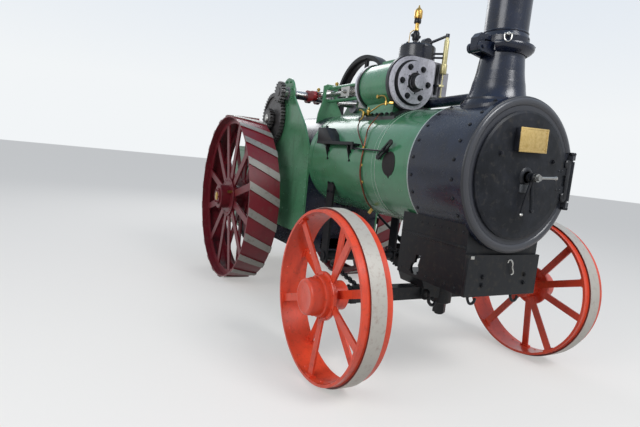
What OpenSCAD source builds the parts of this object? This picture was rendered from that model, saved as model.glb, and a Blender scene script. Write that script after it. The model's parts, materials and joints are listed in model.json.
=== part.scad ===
// Steam traction engine on four spoked wheels, parked and out of gear.
// +X points forward, +Y to the engine's left, +Z up. Millimetres.
// The origin is on the ground, under the middle of the overall length.

/* [Layout] */
// Distance of the front axle ahead of the origin
front_axle_x = 1700; // [1680:5:1720]
// Distance of the rear axle behind the firebox
axle_behind = 300; // [290:5:320]
// Height of the boiler's axis above the ground
boiler_z = 1460; // [1450:5:1475]

/* [Boiler] */
// Outer radius of the lagged boiler barrel
barrel_r = 445; // [435:1:450]
// Length of the lagged barrel, from smokebox to firebox
barrel_len = 1550; // [1530:5:1580]
// Width of the firebox over its outer plates
firebox_w = 840; // [820:5:850]
// Length of the firebox shell
firebox_len = 800; // [780:5:820]
// Height of the firebox shell's top above the boiler's axis
firebox_rise = 435; // [430:1:440]
// Height of the foundation ring, the firebox's lower edge
firebox_bottom_z = 690; // [680:5:720]
// Water space between the outer and inner firebox plates
water_space = 85; // [75:1:95]
// Radius of the round fire hole
firehole_r = 150; // [130:1:160]
// Depth of the ashpan below the foundation ring
ashpan_h = 180; // [150:5:200]

/* [Smokebox] */
// Outer radius of the smokebox shell
smokebox_r = 458; // [455:1:465]
// Length of the smokebox shell, up to the front ring
smokebox_len = 540; // [520:5:560]
// Depth by which the front ring stands out past the smokebox shell
ring_proud = 12; // [8:1:16]
// Radius of the front ring
ring_r = 490; // [482:1:496]
// Thickness of the smokebox plates
smokebox_t = 12; // [8:1:14]
// Radius of the smokebox door
door_r = 401; // [390:1:405]
// Depth of the door's dish
door_dish = 26; // [15:1:35]

/* [Chimney] */
// Distance of the chimney behind the smokebox's front edge
chimney_back = 270; // [255:5:285]
// Outer radius of the chimney barrel
chimney_r = 138; // [132:1:144]
// Wall thickness of the chimney
chimney_t = 10; // [6:1:12]
// Radius of the joint flanges halfway up the chimney
chimney_flange_r = 153; // [150:1:162]
// Height of the chimney's fold joint above the ground
chimney_joint_z = 2290; // [2275:5:2310]
// Height of the chimney's top above the ground
chimney_top_z = 3340; // [3300:10:3400]

/* [Cylinder and motion] */
// Height of the cylinder and of the crankshaft above the ground
crank_z = 2100; // [2096:1:2110]
// Distance of the crankshaft ahead of the firebox's back
crank_ahead = 150; // [140:5:160]
// Distance of the cylinder's axis to the right of the engine's middle
cyl_right = 140; // [130:1:145]
// Outer radius of the cylinder's lagging
cyl_r = 185; // [178:1:190]
// Length of the lagged cylinder
cyl_len = 480; // [460:5:500]
// Distance of the cylinder's front face ahead of the crankshaft
cyl_ahead = 1710; // [1700:5:1720]
// Radius of the cylinder's end flanges
cyl_flange_r = 205; // [196:1:210]
// Thickness of the curved saddle plate under the cylinder
saddle_t = 22; // [16:1:26]
// Radius of the round casing on top of the cylinder
casing_r = 148; // [138:1:152]
// Height of that casing
casing_h = 123; // [110:1:130]
// Radius of the exhaust pipe
exhaust_r = 38; // [34:1:40]
// Crank throw, half of the piston's stroke
throw = 127; // [120:1:130]
// Length of the connecting rod, centre to centre
rod_len = 650; // [640:5:670]
// Radius of the crankshaft
crank_shaft_r = 45; // [40:1:46]
// Radius of the flywheel
flywheel_r = 570; // [550:5:580]
// Width of the flywheel's rim
flywheel_w = 120; // [100:1:125]

/* [Gearing] */
// Module of the gear teeth
gear_m = 12; // [12:0.1:12.4]
// Width of the gear teeth
gear_w = 46; // [40:1:47]
// Teeth of the crank pinion, which is slid out of mesh
crank_pinion_n = 17; // [16:1:18]
// Teeth of the second shaft's large gear
second_gear_n = 46; // [45:1:47]
// Teeth of the second shaft's pinion
second_pinion_n = 17; // [16:1:18]
// Teeth of the third shaft's large gear
third_gear_n = 44; // [43:1:45]
// Teeth of the third shaft's pinion
third_pinion_n = 16; // [16:1:17]
// Teeth of the gear on the rear axle
axle_gear_n = 84; // [83:1:86]
// Radius of the second and third shafts
gear_shaft_r = 32; // [28:1:36]

/* [Front wheels] */
// Diameter of the front wheels over their tyre band
front_wheel_d = 1143; // [1130:1:1160]
// Width of the front wheels' rims
front_wheel_w = 203; // [190:1:210]
// Distance between the middles of the front wheels
front_track = 1930; // [1900:5:1950]
// Spokes in a front wheel
front_spokes = 10; // [8:1:12]
// Width of the raised tyre band
tyre_band_w = 104; // [80:1:120]
// Height of the tyre band above the rim
tyre_band_h = 15; // [10:1:18]
// Radius of the front axle's journals
front_journal_r = 38; // [34:1:40]
// Distance of the front hub caps' faces from the engine's middle
front_cap_y = 1140; // [1120:1:1150]

/* [Rear wheels] */
// Diameter of the rear wheels over their strakes
rear_wheel_d = 1828; // [1800:2:1840]
// Width of the rear wheels' rims
rear_wheel_w = 316; // [300:1:318]
// Distance of the rear wheels' outer edges from the engine's middle
rear_wheel_out = 930; // [926:1:940]
// Strakes around a rear wheel
strakes = 22; // [18:1:24]
// Thickness of a strake
strake_t = 14; // [10:1:16]
// Width of a strake
strake_w = 72; // [60:1:80]
// Slant of the strakes from straight across
strake_slant = 28; // [20:1:35]
// Spokes in each of the two rows of a rear wheel
rear_spokes = 12; // [10:1:14]
// Radius of the rear axle
rear_axle_r = 55; // [50:1:56]

/* [Frame] */
// Thickness of the hornplates, the side frames that carry the shafts
horn_t = 20; // [14:1:22]
// Width of the perch bracket under the smokebox
perch_w = 640; // [600:5:660]
// Gap between the front axle's beam and the bracket above it
axle_gap = 12; // [8:0.5:24]
// Thickness of the bracket's plates
perch_t = 20; // [14:1:24]
// Radius of the kingpin
kingpin_r = 30; // [26:1:34]
// Height of the front axle beam
beam_h = 90; // [80:1:96]

/* [Tender] */
// Length from the hornplates' rear edge to the tender's back
tender_len = 1020; // [1000:5:1040]
// Thickness of the tender's plates
tender_t = 8; // [6:1:10]
// Height of the footplate
footplate_z = 650; // [640:5:660]
// Height of the bunker's floor, the top of the water tank
bunker_floor_z = 1000; // [980:10:1020]
// Height of the water tank's underside
tank_low_z = 430; // [410:5:450]
// Height of the bunker's top edge
bunker_z = 1500; // [1450:10:1540]
// Length of the coal bunker
bunker_len = 640; // [600:10:660]
// Distance of the drawbar's end behind the tender
drawbar_len = 193; // [160:1:200]

/* [Steering] */
// Distance of the steering barrel behind the front axle
barrel_back = 1150; // [1130:5:1170]
// Distance of the chain eyes from the engine's middle
chain_eye_y = 560; // [540:5:580]
// Length of a chain link
link_len = 78; // [74:1:80]
// Thickness of a chain link's wire
link_wire = 12; // [10:1:12]
// Radius of the steering handwheel
handwheel_r = 150; // [130:1:152]

/* [Hidden] */
$fn = 96;
// Gaps: between fixed pieces that lie against each other, between flat joint faces, and
// between a shaft and its bearing
fit = 0.3;
seat = 0.1;
run = 0.05;

// Places along the engine
smokebox_x = front_axle_x;
smokebox_front_x = smokebox_x + smokebox_len;
chimney_x = smokebox_front_x - chimney_back;
firebox_x = smokebox_x - barrel_len;
backhead_x = firebox_x - firebox_len;
rear_axle_x = backhead_x - axle_behind;
crank_x = backhead_x + crank_ahead;
cyl_front_x = crank_x + cyl_ahead;
cyl_rear_x = cyl_front_x - cyl_len;
front_z = front_wheel_d / 2;
rear_z = rear_wheel_d / 2;
perch_z = front_z + beam_h / 2 + axle_gap;
perch_low = perch_z + 62;
horn_y = firebox_w / 2;
horn_out = horn_y + horn_t;
horn_back_x = rear_axle_x - 230;
tender_x = horn_back_x - tender_len;
bunker_x = tender_x + bunker_len;

// Radius and thickness of the chimney's foot flange on the smokebox
chimney_foot_r = 225;
chimney_foot_t = 18;

// The cylinder's line and what lies on it
crank_y = -cyl_right;
crank_pin_x = crank_x + throw;
crosshead_x = crank_pin_x + rod_len;
piston_rod_r = 24;
cyl_top_z = crank_z + cyl_flange_r + 12;
cover_t = 26;
casing_c = [cyl_front_x - 170, 20];
casing_top_z = cyl_top_z + seat + casing_h;
// Valve chest beside the cylinder, its two steps from inside to outside
valve_y0 = 60;
valve_step_y = 200;
valve_y1 = 300;
valve_rod_y = 93;
// Exhaust pipe, just over the smokebox and beside the cylinder's front flange
exhaust_z = boiler_z + smokebox_r + chimney_foot_t + exhaust_r + 2;
exhaust_y = crank_y + sqrt(pow(cyl_flange_r + exhaust_r + 14, 2) - pow(crank_z - exhaust_z, 2));
function exhaust_y_at(x) = exhaust_y * (chimney_x - x) / (chimney_x - cyl_front_x - cover_t);
// Slide bars: distance of their inner faces from the axis, thickness, and where they begin
bar_z = 46;
bar_t = 36;
guide_x = crosshead_x - 2 * throw - 110;
// Steering barrel
drum_x = front_axle_x - barrel_back;
drum_z = front_z;
drum_r = 46;

// Gear planes on the right side, inner, middle and outer
gear_gap = 8;
gear_y = [for (i = [0:2]) -(horn_out + 10 + i * (gear_w + gear_gap) + gear_w)];
function pitch_r(n) = n * gear_m / 2;
function tip_r(n) = pitch_r(n) + 0.8 * gear_m;
function root_r(n) = pitch_r(n) - 1.1 * gear_m;
function dist(a, b) = norm(b - a);
function heading(a, b) = atan2(b[1] - a[1], b[0] - a[0]);
// Where a circle about a and a circle about b cross, on the rear side
function crossing(a, ra, b, rb) =
    let (d = dist(a, b), u = (b - a) / d, s = (ra * ra - rb * rb + d * d) / (2 * d),
         h = sqrt(max(0, ra * ra - s * s)))
    a + s * u + h * [u[1], -u[0]];

// Shaft centres in side view, [x, z]
crank_c = [crank_x, crank_z];
axle_c = [rear_axle_x, rear_z];
second_d = pitch_r(crank_pinion_n) + pitch_r(second_gear_n);
second_c = crank_c - second_d * [cos(45), sin(45)];
third_d = pitch_r(second_pinion_n) + pitch_r(third_gear_n);
final_d = pitch_r(third_pinion_n) + pitch_r(axle_gear_n);
third_c = crossing(second_c, third_d, axle_c, final_d);

// Shaft table: [centre, shaft radius, housing radius]
SHAFTS = [
    [crank_c, crank_shaft_r, 95],
    [second_c, gear_shaft_r, 65],
    [third_c, gear_shaft_r, 65],
    [axle_c, rear_axle_r, 105]
];

// Pin of the chimney's fold joint, and hinge of the smokebox door
fold_y = -(chimney_flange_r + 82);
fold_z = chimney_joint_z - 50;
fold_pin_r = 12;
// Clamp bolt on the other side of the chimney
clamp_y = chimney_flange_r + 30;
ring_front_x = smokebox_front_x + ring_proud;
door_hinge_x = ring_front_x + 22;
door_hinge_y = door_r + 36;
door_pin_r = 9;
firedoor_hinge_y = firehole_r + 45;
firedoor_hinge_x = backhead_x - 26;

// A solid along +X or +Y that starts at a given point
module along_x(x, y, z) { translate([x, y, z]) rotate([0, 90, 0]) children(); }
module along_y(x, y, z) { translate([x, y, z]) rotate([-90, 0, 0]) children(); }
// A side view outline in x and z, extruded from y0 to y0 + t
module side_plate(y0, t) { translate([0, y0 + t, 0]) rotate([90, 0, 0]) linear_extrude(t) children(); }
// A plain block between two corners
module block(a, b) { translate(a) cube(b - a); }
// A round bar between two points
module rod(a, b, r) {
    d = b - a;
    translate(a) rotate([0, acos(d[2] / norm(d)), atan2(d[1], d[0])]) cylinder(r = r, h = norm(d));
}
// An outline in y and z, extruded along +X from x0
module cross_plate(x0, t) { translate([x0, 0, 0]) rotate([90, 0, 90]) linear_extrude(t) children(); }
// A block with round upright edges
module soft_block(a, b, r) {
    d = b - a;
    translate(a) linear_extrude(d[2]) {
        translate([r, 0]) square([d[0] - 2 * r, d[1]]);
        translate([0, r]) square([d[0], d[1] - 2 * r]);
        for (x = [r, d[0] - r], y = [r, d[1] - r])
            translate([x, y]) circle(r = r);
    }
}
module both_sides() { children(); mirror([0, 1, 0]) children(); }

// The boiler and its cladding
module boiler_barrel() {
    band_w = 45;
    band_t = 3;
    color("seagreen") {
        along_x(firebox_x, 0, boiler_z) cylinder(r = barrel_r, h = barrel_len);
        for (x = [firebox_x + 40, cyl_front_x + 40, smokebox_x - band_w - 1])
            along_x(x, 0, boiler_z) cylinder(r = barrel_r + band_t, h = band_w);
    }
}

module firebox_form(half_w, x0, x1, top) {
    block([x0, -half_w, firebox_bottom_z], [x1, half_w, boiler_z + top - half_w]);
    along_x(x0, 0, boiler_z + top - half_w) cylinder(r = half_w, h = x1 - x0);
}

module firebox() {
    inner_w = firebox_w / 2 - water_space;
    crown_z = boiler_z - 110;
    color("dimgray") difference() {
        firebox_form(firebox_w / 2, backhead_x, firebox_x, firebox_rise);
        block([backhead_x + water_space, -inner_w, firebox_bottom_z - 1],
              [firebox_x - water_space, inner_w, crown_z]);
        along_x(backhead_x - 1, 0, boiler_z - 260) cylinder(r = firehole_r, h = water_space + 2);
    }
}

module ashpan() {
    w = firebox_w / 2 - 20;
    t = 8;
    top = firebox_bottom_z;
    color("black") difference() {
        block([backhead_x + 20, -w, top - ashpan_h], [firebox_x - 20, w, top]);
        block([backhead_x + 20 + t, t - w, top - ashpan_h + t], [firebox_x - 20 - t, w - t, top + 1]);
        block([firebox_x - 21 - t, -w / 2, top - ashpan_h + 30], [firebox_x, w / 2, top - 40]);
    }
}

module firehole_door() {
    z = boiler_z - 260;
    h = 2 * firehole_r + 50;
    color("dimgray") difference() {
        union() {
            block([backhead_x - 22, -firehole_r - 25, z - h / 2],
                  [backhead_x - 8, firehole_r + 25, z + h / 2]);
            for (s = [-1, 1])
                block([backhead_x - 34, -firehole_r, z + s * 100 - 20],
                      [backhead_x - 22, firedoor_hinge_y, z + s * 100 + 20]);
            for (s = [-1, 1])
                translate([firedoor_hinge_x, firedoor_hinge_y, z + s * 100 - 20]) cylinder(r = 14, h = 40);
            block([backhead_x - 60, -firehole_r - 8, z - 12], [backhead_x - 22, -firehole_r + 12, z + 12]);
        }
        translate([firedoor_hinge_x, firedoor_hinge_y, z - h]) cylinder(r = 8 + run, h = 2 * h);
    }
}

module smokebox() {
    lip = 14;
    face = smokebox_len + ring_proud;
    color("black") difference() {
        union() {
            along_x(smokebox_x, 0, boiler_z) rotate_extrude() polygon(concat(
                [[0, 0], [smokebox_r, 0], [smokebox_r, face - 49],
                 [ring_r - 5, face - 49], [ring_r, face - 44]],
                [for (a = [0:15:90]) [ring_r - lip + lip * cos(a), face - lip + lip * sin(a)]],
                [[door_r - 36, face], [door_r - 36, smokebox_len - smokebox_t],
                 [smokebox_r - smokebox_t, smokebox_len - smokebox_t - 20],
                 [smokebox_r - smokebox_t, 20], [0, 20]]));
            for (s = [-1, 1])
                door_lug(s);
            translate([door_hinge_x, door_hinge_y, boiler_z - 175]) cylinder(r = door_pin_r, h = 350);
        }
        translate([chimney_x, 0, boiler_z]) cylinder(r = chimney_r - chimney_t - 4, h = smokebox_r + 50);
    }
}

// One of the two lugs on the front ring that hold the door's hinge pin
module door_lug(s) {
    z = boiler_z + s * 155;
    block([smokebox_front_x - 2, door_hinge_y - 14, z - 15],
          [door_hinge_x + 14, door_hinge_y + 14, z + 15]);
    block([smokebox_front_x - 30, door_hinge_y - 60, z - 15],
          [smokebox_front_x + 1, door_hinge_y - 10, z + 15]);
}

module smokebox_door() {
    t = 12;
    x = ring_front_x + 2;
    color("black") difference() {
        union() {
            along_x(x, 0, boiler_z) rotate_extrude() polygon(concat(
                [[0, door_dish], [0, door_dish + t]],
                [for (i = [1:6]) [door_r * i / 7, t + door_dish * sqrt(1 - pow(i / 7.4, 2))]],
                [[door_r - 14, t + 8], [door_r, t], [door_r, 0], [door_r - 30, 0]],
                [for (i = [6:-1:1]) [door_r * i / 7.4, door_dish * sqrt(1 - pow(i / 7, 2))]]));
            for (z = [-60, 60])
                block([door_hinge_x - 8, 60, boiler_z + z - 25],
                      [door_hinge_x + 8, door_hinge_y, boiler_z + z + 25]);
            translate([door_hinge_x, door_hinge_y, boiler_z - 130]) cylinder(r = 19, h = 260);
            door_dart(x + door_dish + t - 4);
        }
        translate([door_hinge_x, door_hinge_y, boiler_z - 200]) cylinder(r = door_pin_r + run, h = 400);
    }
}

// The central fastening of the door: boss, screw and two lever handles
module door_dart(x) {
    along_x(x, 0, boiler_z) cylinder(r = 42, h = 14);
    along_x(x, 0, boiler_z) cylinder(r = 17, h = 105);
    along_x(x + 30, 0, boiler_z) cylinder(r = 27, h = 24);
    along_x(x + 66, 0, boiler_z) cylinder(r = 25, h = 24);
    rod([x + 42, 0, boiler_z], [x + 52, 30, boiler_z - 200], 10);
    rod([x + 78, 0, boiler_z], [x + 84, 165, boiler_z + 10], 9);
}

// Section of the chimney's foot above the boiler's axis, grown by a gap where a pipe meets it
module foot_section(gap) {
    top = chimney_joint_z - boiler_z;
    neck = chimney_r + 3 + gap;
    polygon(concat(
        [[0, 300], [205 + gap, 300], [205 + gap, smokebox_r + 20]],
        [for (a = [15:15:90]) [205 + gap - 26 * sin(a), smokebox_r + 50 - 30 * cos(a)]],
        [[166 + gap, top - 250], [152 + gap, top - 175], [neck, top - 84], [neck, top - 62],
         [chimney_flange_r + gap, top - 55], [chimney_flange_r + gap, top], [0, top]]));
}

module chimney_base() {
    top = chimney_joint_z - boiler_z;
    bore_r = chimney_r - chimney_t - 4;
    color("black") difference() {
        union() {
            intersection() {
                translate([chimney_x, 0, boiler_z]) cylinder(r = chimney_foot_r, h = smokebox_r + 20);
                along_x(chimney_x - chimney_foot_r, 0, boiler_z)
                    cylinder(r = smokebox_r + chimney_foot_t, h = 2 * chimney_foot_r);
            }
            translate([chimney_x, 0, boiler_z]) rotate_extrude() foot_section(0);
            for (x = [-1, 1])
                translate([chimney_x + 45 * x, 0, 0]) fold_ear();
            block([chimney_x - 28, chimney_r - 6, chimney_joint_z - 40],
                  [chimney_x + 28, clamp_y + 16, chimney_joint_z - 4]);
        }
        translate([chimney_x, 0, boiler_z]) cylinder(r = bore_r, h = top + 1);
        // Slot for the clamp bolt, open to the outside
        block([chimney_x - 14, clamp_y - 20, chimney_joint_z - 41],
              [chimney_x + 14, clamp_y + 17, chimney_joint_z + 1]);
        along_x(chimney_x - chimney_foot_r - 1, 0, boiler_z)
            cylinder(r = smokebox_r + fit, h = 2 * chimney_foot_r + 2);
    }
    color("black") along_x(chimney_x - 66, fold_y, fold_z) cylinder(r = fold_pin_r, h = 132);
}

// One ear of the fold joint's fixed half, with its pin's seat
module fold_ear() {
    cross_plate(-11, 22) {
        polygon([
            [fold_y - 20, fold_z - 24], [fold_y + 20, fold_z - 32], [50 - chimney_flange_r, fold_z - 50],
            [50 - chimney_flange_r, chimney_joint_z - 6], [fold_y + 20, chimney_joint_z - 14],
            [fold_y - 24, fold_z + 22]]);
        translate([fold_y, fold_z]) circle(r = 32);
    }
}

module chimney() {
    low = chimney_joint_z + 1;
    lug = 29;
    color("black") difference() {
        union() {
            translate([chimney_x, 0, 0]) rotate_extrude() polygon(concat(
                [[0, low], [chimney_flange_r, low], [chimney_flange_r, low + 38],
                 [chimney_r + 3, low + 66], [chimney_r, low + 70], [chimney_r, chimney_top_z - 150]],
                [for (a = [0:15:75]) [chimney_r + 36 - 36 * cos(a), chimney_top_z - 150 + 62 * sin(a)]],
                [[chimney_r + 36, chimney_top_z - 84], [chimney_r + 36, chimney_top_z],
                 [0, chimney_top_z]]));
            cross_plate(chimney_x - lug, 2 * lug) {
                polygon([[20 - chimney_flange_r, low + 4], [20 - chimney_flange_r, low + 36],
                         [fold_y - 4, low + 36], [fold_y - 30, low + 4], [fold_y - 30, fold_z],
                         [fold_y + 30, fold_z], [fold_y + 30, low + 4]]);
                translate([fold_y, fold_z]) circle(r = 30);
            }
            block([chimney_x - 28, chimney_r - 6, low + 3], [chimney_x + 28, clamp_y + 16, low + 36]);
        }
        translate([chimney_x, 0, low - 1]) cylinder(r = chimney_r - chimney_t, h = chimney_top_z);
        along_x(chimney_x - lug - 1, fold_y, fold_z) cylinder(r = fold_pin_r + run, h = 2 * lug + 2);
    }
    // Clamp bolt through the lugs, with its nut and handle on top
    color("black") translate([chimney_x, clamp_y, chimney_joint_z]) {
        translate([0, 0, -56]) cylinder(r = 8, h = 70);
        translate([0, 0, 36]) cylinder(r = 20, h = 24, $fn = 6);
        rod([0, 8, 50], [10, 100, 46], 6);
    }
}

// Side frames: the outline goes from the firebox's front round the crankshaft and down behind the axle
module hornplates() {
    low = firebox_bottom_z;
    color("darkslategray") both_sides() difference() {
        side_plate(horn_y, horn_t) {
            polygon([
                [firebox_x, low], [firebox_x, boiler_z + 60], [firebox_x - 160, boiler_z + 300],
                [crank_x + 170, crank_z - 40], [crank_x - 150, crank_z + 20],
                [second_c[0] - 110, second_c[1] + 40], [second_c[0] - 150, second_c[1] - 160],
                [horn_back_x, third_c[1] - 120], [horn_back_x, low]]);
            translate(crank_c) circle(r = 160);
            translate(second_c) circle(r = 110);
        }
        for (s = SHAFTS)
            along_y(s[0][0], horn_y - 1, s[0][1]) cylinder(r = s[2] - 25, h = horn_t + 2);
    }
}

// Bearings of the four shafts: a flange against the hornplate's inner face and a neck through it
module shaft_bearings() {
    flange_t = 40;
    color("gray") both_sides() for (s = SHAFTS) difference() {
        union() {
            along_y(s[0][0], horn_y - flange_t, s[0][1]) cylinder(r = s[2], h = flange_t);
            along_y(s[0][0], horn_y - 1, s[0][1]) cylinder(r = s[2] - 25 - fit, h = horn_t + 3);
        }
        along_y(s[0][0], horn_y - flange_t - 1, s[0][1]) cylinder(r = s[1] + run, h = horn_t + flange_t + 9);
    }
}

// The box under the smokebox that rests on the front axle and holds the kingpin
module perch_bracket() {
    w = perch_w / 2;
    x0 = front_axle_x - 145;
    x1 = front_axle_x + 500;
    saddle_z = boiler_z - smokebox_r - 42;
    nut_z = front_z - beam_h / 2 - 38;
    keyhole = [front_axle_x + 44, perch_low + 58];
    color("black") {
        difference() {
            union() {
                cross_plate(front_axle_x - 130, 270)
                    polygon([[30 - w, perch_z], [w - 30, perch_z], [w, perch_low + 1], [-w, perch_low + 1]]);
                block([x0, -w, perch_low], [x1, w, perch_low + perch_t]);
                both_sides() side_plate(w - perch_t, perch_t) difference() {
                    polygon([[x0, perch_low], [x1, perch_low], [x1, boiler_z - 250], [x0, boiler_z - 250]]);
                    translate(keyhole) circle(r = 44);
                    translate(keyhole) polygon([[-9, 31], [31, 31], [51, 102], [1, 102]]);
                }
                block([x0, -w, saddle_z], [x1, w, boiler_z - 250]);
                block([x0, -perch_t / 2, perch_low], [x1, perch_t / 2, saddle_z + 1]);
                block([x1 - perch_t, -w, perch_low], [x1, w, boiler_z - 250]);
                translate([front_axle_x, 0, perch_low]) cylinder(r = 100, h = saddle_z - perch_low + 1);
                block([x1 - 1, -w, perch_low], [x1 + 30, w, perch_low + 265]);
            }
            along_x(x0 - 1, 0, boiler_z) cylinder(r = smokebox_r + fit, h = x1 - x0 + 60);
        }
        translate([front_axle_x, 0, nut_z - 98]) cylinder(r = kingpin_r, h = perch_z - nut_z + 99);
        translate([front_axle_x, 0, nut_z - 86]) cylinder(r = kingpin_r + 18, h = 86 - fit, $fn = 6);
    }
}

module front_axle() {
    beam_z = front_z;
    boss_low = beam_z - beam_h / 2 - 38;
    end_y = front_track / 2 - front_wheel_w / 2 - 12;
    color("black") difference() {
        union() {
            block([front_axle_x - 48, -end_y, beam_z - beam_h / 2],
                  [front_axle_x + 48, end_y, beam_z + beam_h / 2]);
            translate([front_axle_x, 0, boss_low]) cylinder(r = 78, h = perch_z - fit - boss_low);
            both_sides() along_y(front_axle_x, end_y - 1, front_z)
                cylinder(r = front_journal_r, h = front_cap_y - 30 - end_y);
            both_sides() along_y(front_axle_x, end_y - 18, front_z) cylinder(r = 62, h = 24);
            chain_eye(1, chain_z[0]);
            chain_eye(-1, chain_z[1]);
        }
        translate([front_axle_x, 0, boss_low - 1]) cylinder(r = kingpin_r + run, h = 400);
    }
}

// Chains: the left one runs over the steering barrel, the right one under it
chain_z = [drum_z + drum_r + link_len * 0.3 + 2, drum_z - drum_r - link_len * 0.3 - 2];
drum_chain_y = 300;
// Distance of the chain eyes' pins behind the axle
eye_back = 90;
chain_angle = atan2(chain_eye_y - drum_chain_y, barrel_back - eye_back);
// A lug behind the beam with a vertical pin that holds the end of a chain
module chain_eye(side, z) {
    x = front_axle_x - eye_back;
    y = side * chain_eye_y;
    z0 = min(z - 26, front_z - 20);
    z1 = max(z + 26, front_z + 20);
    block([front_axle_x - 60, y - 30, z0], [front_axle_x - 40, y + 30, z1]);
    for (k = [-1, 1]) {
        block([x, y - 20, z + k * 20 - 6], [front_axle_x - 50, y + 20, z + k * 20 + 6]);
        translate([x, y, z + k * 20 - 6]) cylinder(r = 20, h = 12);
    }
    translate([x, y, z - 26]) cylinder(r = 7, h = 52);
}

// One side's chain: an eye on the axle's pin, then links that stand and lie in turn
link_pitch = link_len - 2 * link_wire + 1;
link_w = 3 * link_wire + 8;
module chain_link() {
    h = link_len / 2 - link_w / 2;
    difference() {
        union() {
            for (k = [-1, 1])
                translate([k * h, 0, -link_wire / 2]) rotate(22.5)
                    cylinder(r = link_w / 2 / cos(22.5), h = link_wire, $fn = 8);
            block([-h, -link_w / 2, -link_wire / 2], [h, link_w / 2, link_wire / 2]);
        }
        for (k = [-1, 1])
            translate([k * h, 0, -link_wire]) rotate(22.5)
                cylinder(r = (link_w / 2 - link_wire) / cos(22.5), h = 2 * link_wire, $fn = 8);
        block([-h, link_wire - link_w / 2, -link_wire], [h, link_w / 2 - link_wire, link_wire]);
    }
}
module steering_chain(side, z) {
    run_len = norm([barrel_back - eye_back, chain_eye_y - drum_chain_y]);
    n = floor((run_len - 40) / link_pitch);
    translate([front_axle_x - eye_back, side * chain_eye_y, z]) rotate(180 + side * chain_angle) {
        difference() {
            union() {
                translate([0, 0, -11]) cylinder(r = 18, h = 22);
                block([10, -6, -6], [46, 6, 6]);
            }
            translate([0, 0, -12]) cylinder(r = 7 + run, h = 24);
        }
        for (i = [0:n - 1])
            translate([34 + link_len / 2 - link_wire + i * link_pitch, 0, 0])
                rotate([i % 2 == 0 ? 90 : 0, 0, 0]) chain_link();
    }
}
module steering_chain_left() { color("dimgray") steering_chain(1, chain_z[0]); }
module steering_chain_right() { color("dimgray") steering_chain(-1, chain_z[1]); }

// Front wheel, drawn on the left side: rim with a raised tyre band, flat spokes and a stepped hub
module front_wheel() {
    rim_r = front_z - tyre_band_h;
    rim_in = rim_r - 18;
    y0 = front_track / 2;
    half = front_wheel_w / 2;
    hub_in = y0 - half - 4;
    color("orangered") {
        along_y(front_axle_x, y0, front_z) rotate_extrude() polygon([
            [rim_in, -half], [rim_r, -half], [rim_r, -tyre_band_w / 2], [front_z, -tyre_band_w / 2],
            [front_z, tyre_band_w / 2], [rim_r, tyre_band_w / 2], [rim_r, half], [rim_in, half]]);
        for (i = [0:front_spokes - 1])
            translate([front_axle_x, y0, front_z]) rotate([0, i * 360 / front_spokes + 90, 0])
                front_spoke(i % 2 == 0 ? 1 : -1, rim_in);
        difference() {
            along_y(front_axle_x, hub_in, front_z) rotate_extrude() polygon([
                [0, 0], [84, 0], [96, 12], [96, 150], [112, 158], [112, 190], [84, 204],
                [74, front_cap_y - hub_in - 34], [60, front_cap_y - hub_in - 22],
                [56, front_cap_y - hub_in], [0, front_cap_y - hub_in]]);
            along_y(front_axle_x, hub_in - 1, front_z)
                cylinder(r = front_journal_r + run, h = front_cap_y - hub_in - 14);
        }
    }
}

// A flat bar from hub to rim that leans to one edge of the rim, with a foot on the rim
module front_spoke(side, rim_in) {
    inner = 80;
    lean = 46;
    len = rim_in - inner;
    t = 14;
    w = 54;
    foot_w = 66;
    translate([inner, side * 26, 0]) rotate([0, 0, side * atan(lean / len)])
        translate([0, -t / 2, -w / 2]) cube([norm([len, lean]), t, w]);
    translate([rim_in - 13, side * (26 + lean) - 22, -foot_w / 2]) cube([15, 46, foot_w]);
}

module front_wheel_left() { front_wheel(); }
module front_wheel_right() { mirror([0, 1, 0]) front_wheel(); }

module rear_axle() {
    end = rear_wheel_out + 36;
    color("gray") along_y(rear_axle_x, -end, rear_z) cylinder(r = rear_axle_r, h = 2 * end);
}

// Involute teeth: half of a tooth's angle at radius r
pressure = 20;
backlash = 0.35;
function inv(a) = tan(a) * 180 / PI - a;
function half_angle(n, r) =
    let (rb = pitch_r(n) * cos(pressure), a = acos(min(1, rb / max(r, rb))))
    90 / n + inv(pressure) - inv(a) - backlash / pitch_r(n) * 180 / PI;
function polar(r, a) = [r * cos(a), r * sin(a)];
module gear_form(n, first) {
    rr = [root_r(n), pitch_r(n), tip_r(n)];
    polygon([for (i = [0:n - 1]) let (a = first + i * 360 / n) each [
        for (k = [0:2]) polar(rr[k], a - half_angle(n, rr[k])),
        for (k = [2:-1:0]) polar(rr[k], a + half_angle(n, rr[k]))]]);
}
// A gear in one of the three planes, with its web cut to spokes where it is large
module gear(c, n, plane, first, hub_r) {
    translate([c[0], gear_y[plane], c[1]]) difference() {
        side_plate(0, gear_w) gear_form(n, first);
        if (n > 30)
            for (s = [0, 1])
                translate([0, s * (gear_w + 2) - 1, 0]) difference() {
                    along_y(0, s * (-16), 0) cylinder(r = root_r(n) - 20, h = 16);
                    along_y(0, s * (-16) - 1, 0) cylinder(r = hub_r + 16, h = 18);
                }
        if (n > 60)
            for (i = [0:5])
                rotate([0, i * 60, 0]) along_y((root_r(n) + hub_r) / 2, -1, 0)
                    cylinder(r = (root_r(n) - hub_r) * 0.3, h = gear_w + 2);
    }
}

module axle_gear() {
    first = heading(third_c, axle_c) + 180 + 180 / axle_gear_n;
    color("gray") difference() {
        gear(axle_c, axle_gear_n, 2, first, 100);
        along_y(rear_axle_x, gear_y[2] - 1, rear_z) cylinder(r = rear_axle_r + run, h = gear_w + 2);
    }
}

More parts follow.
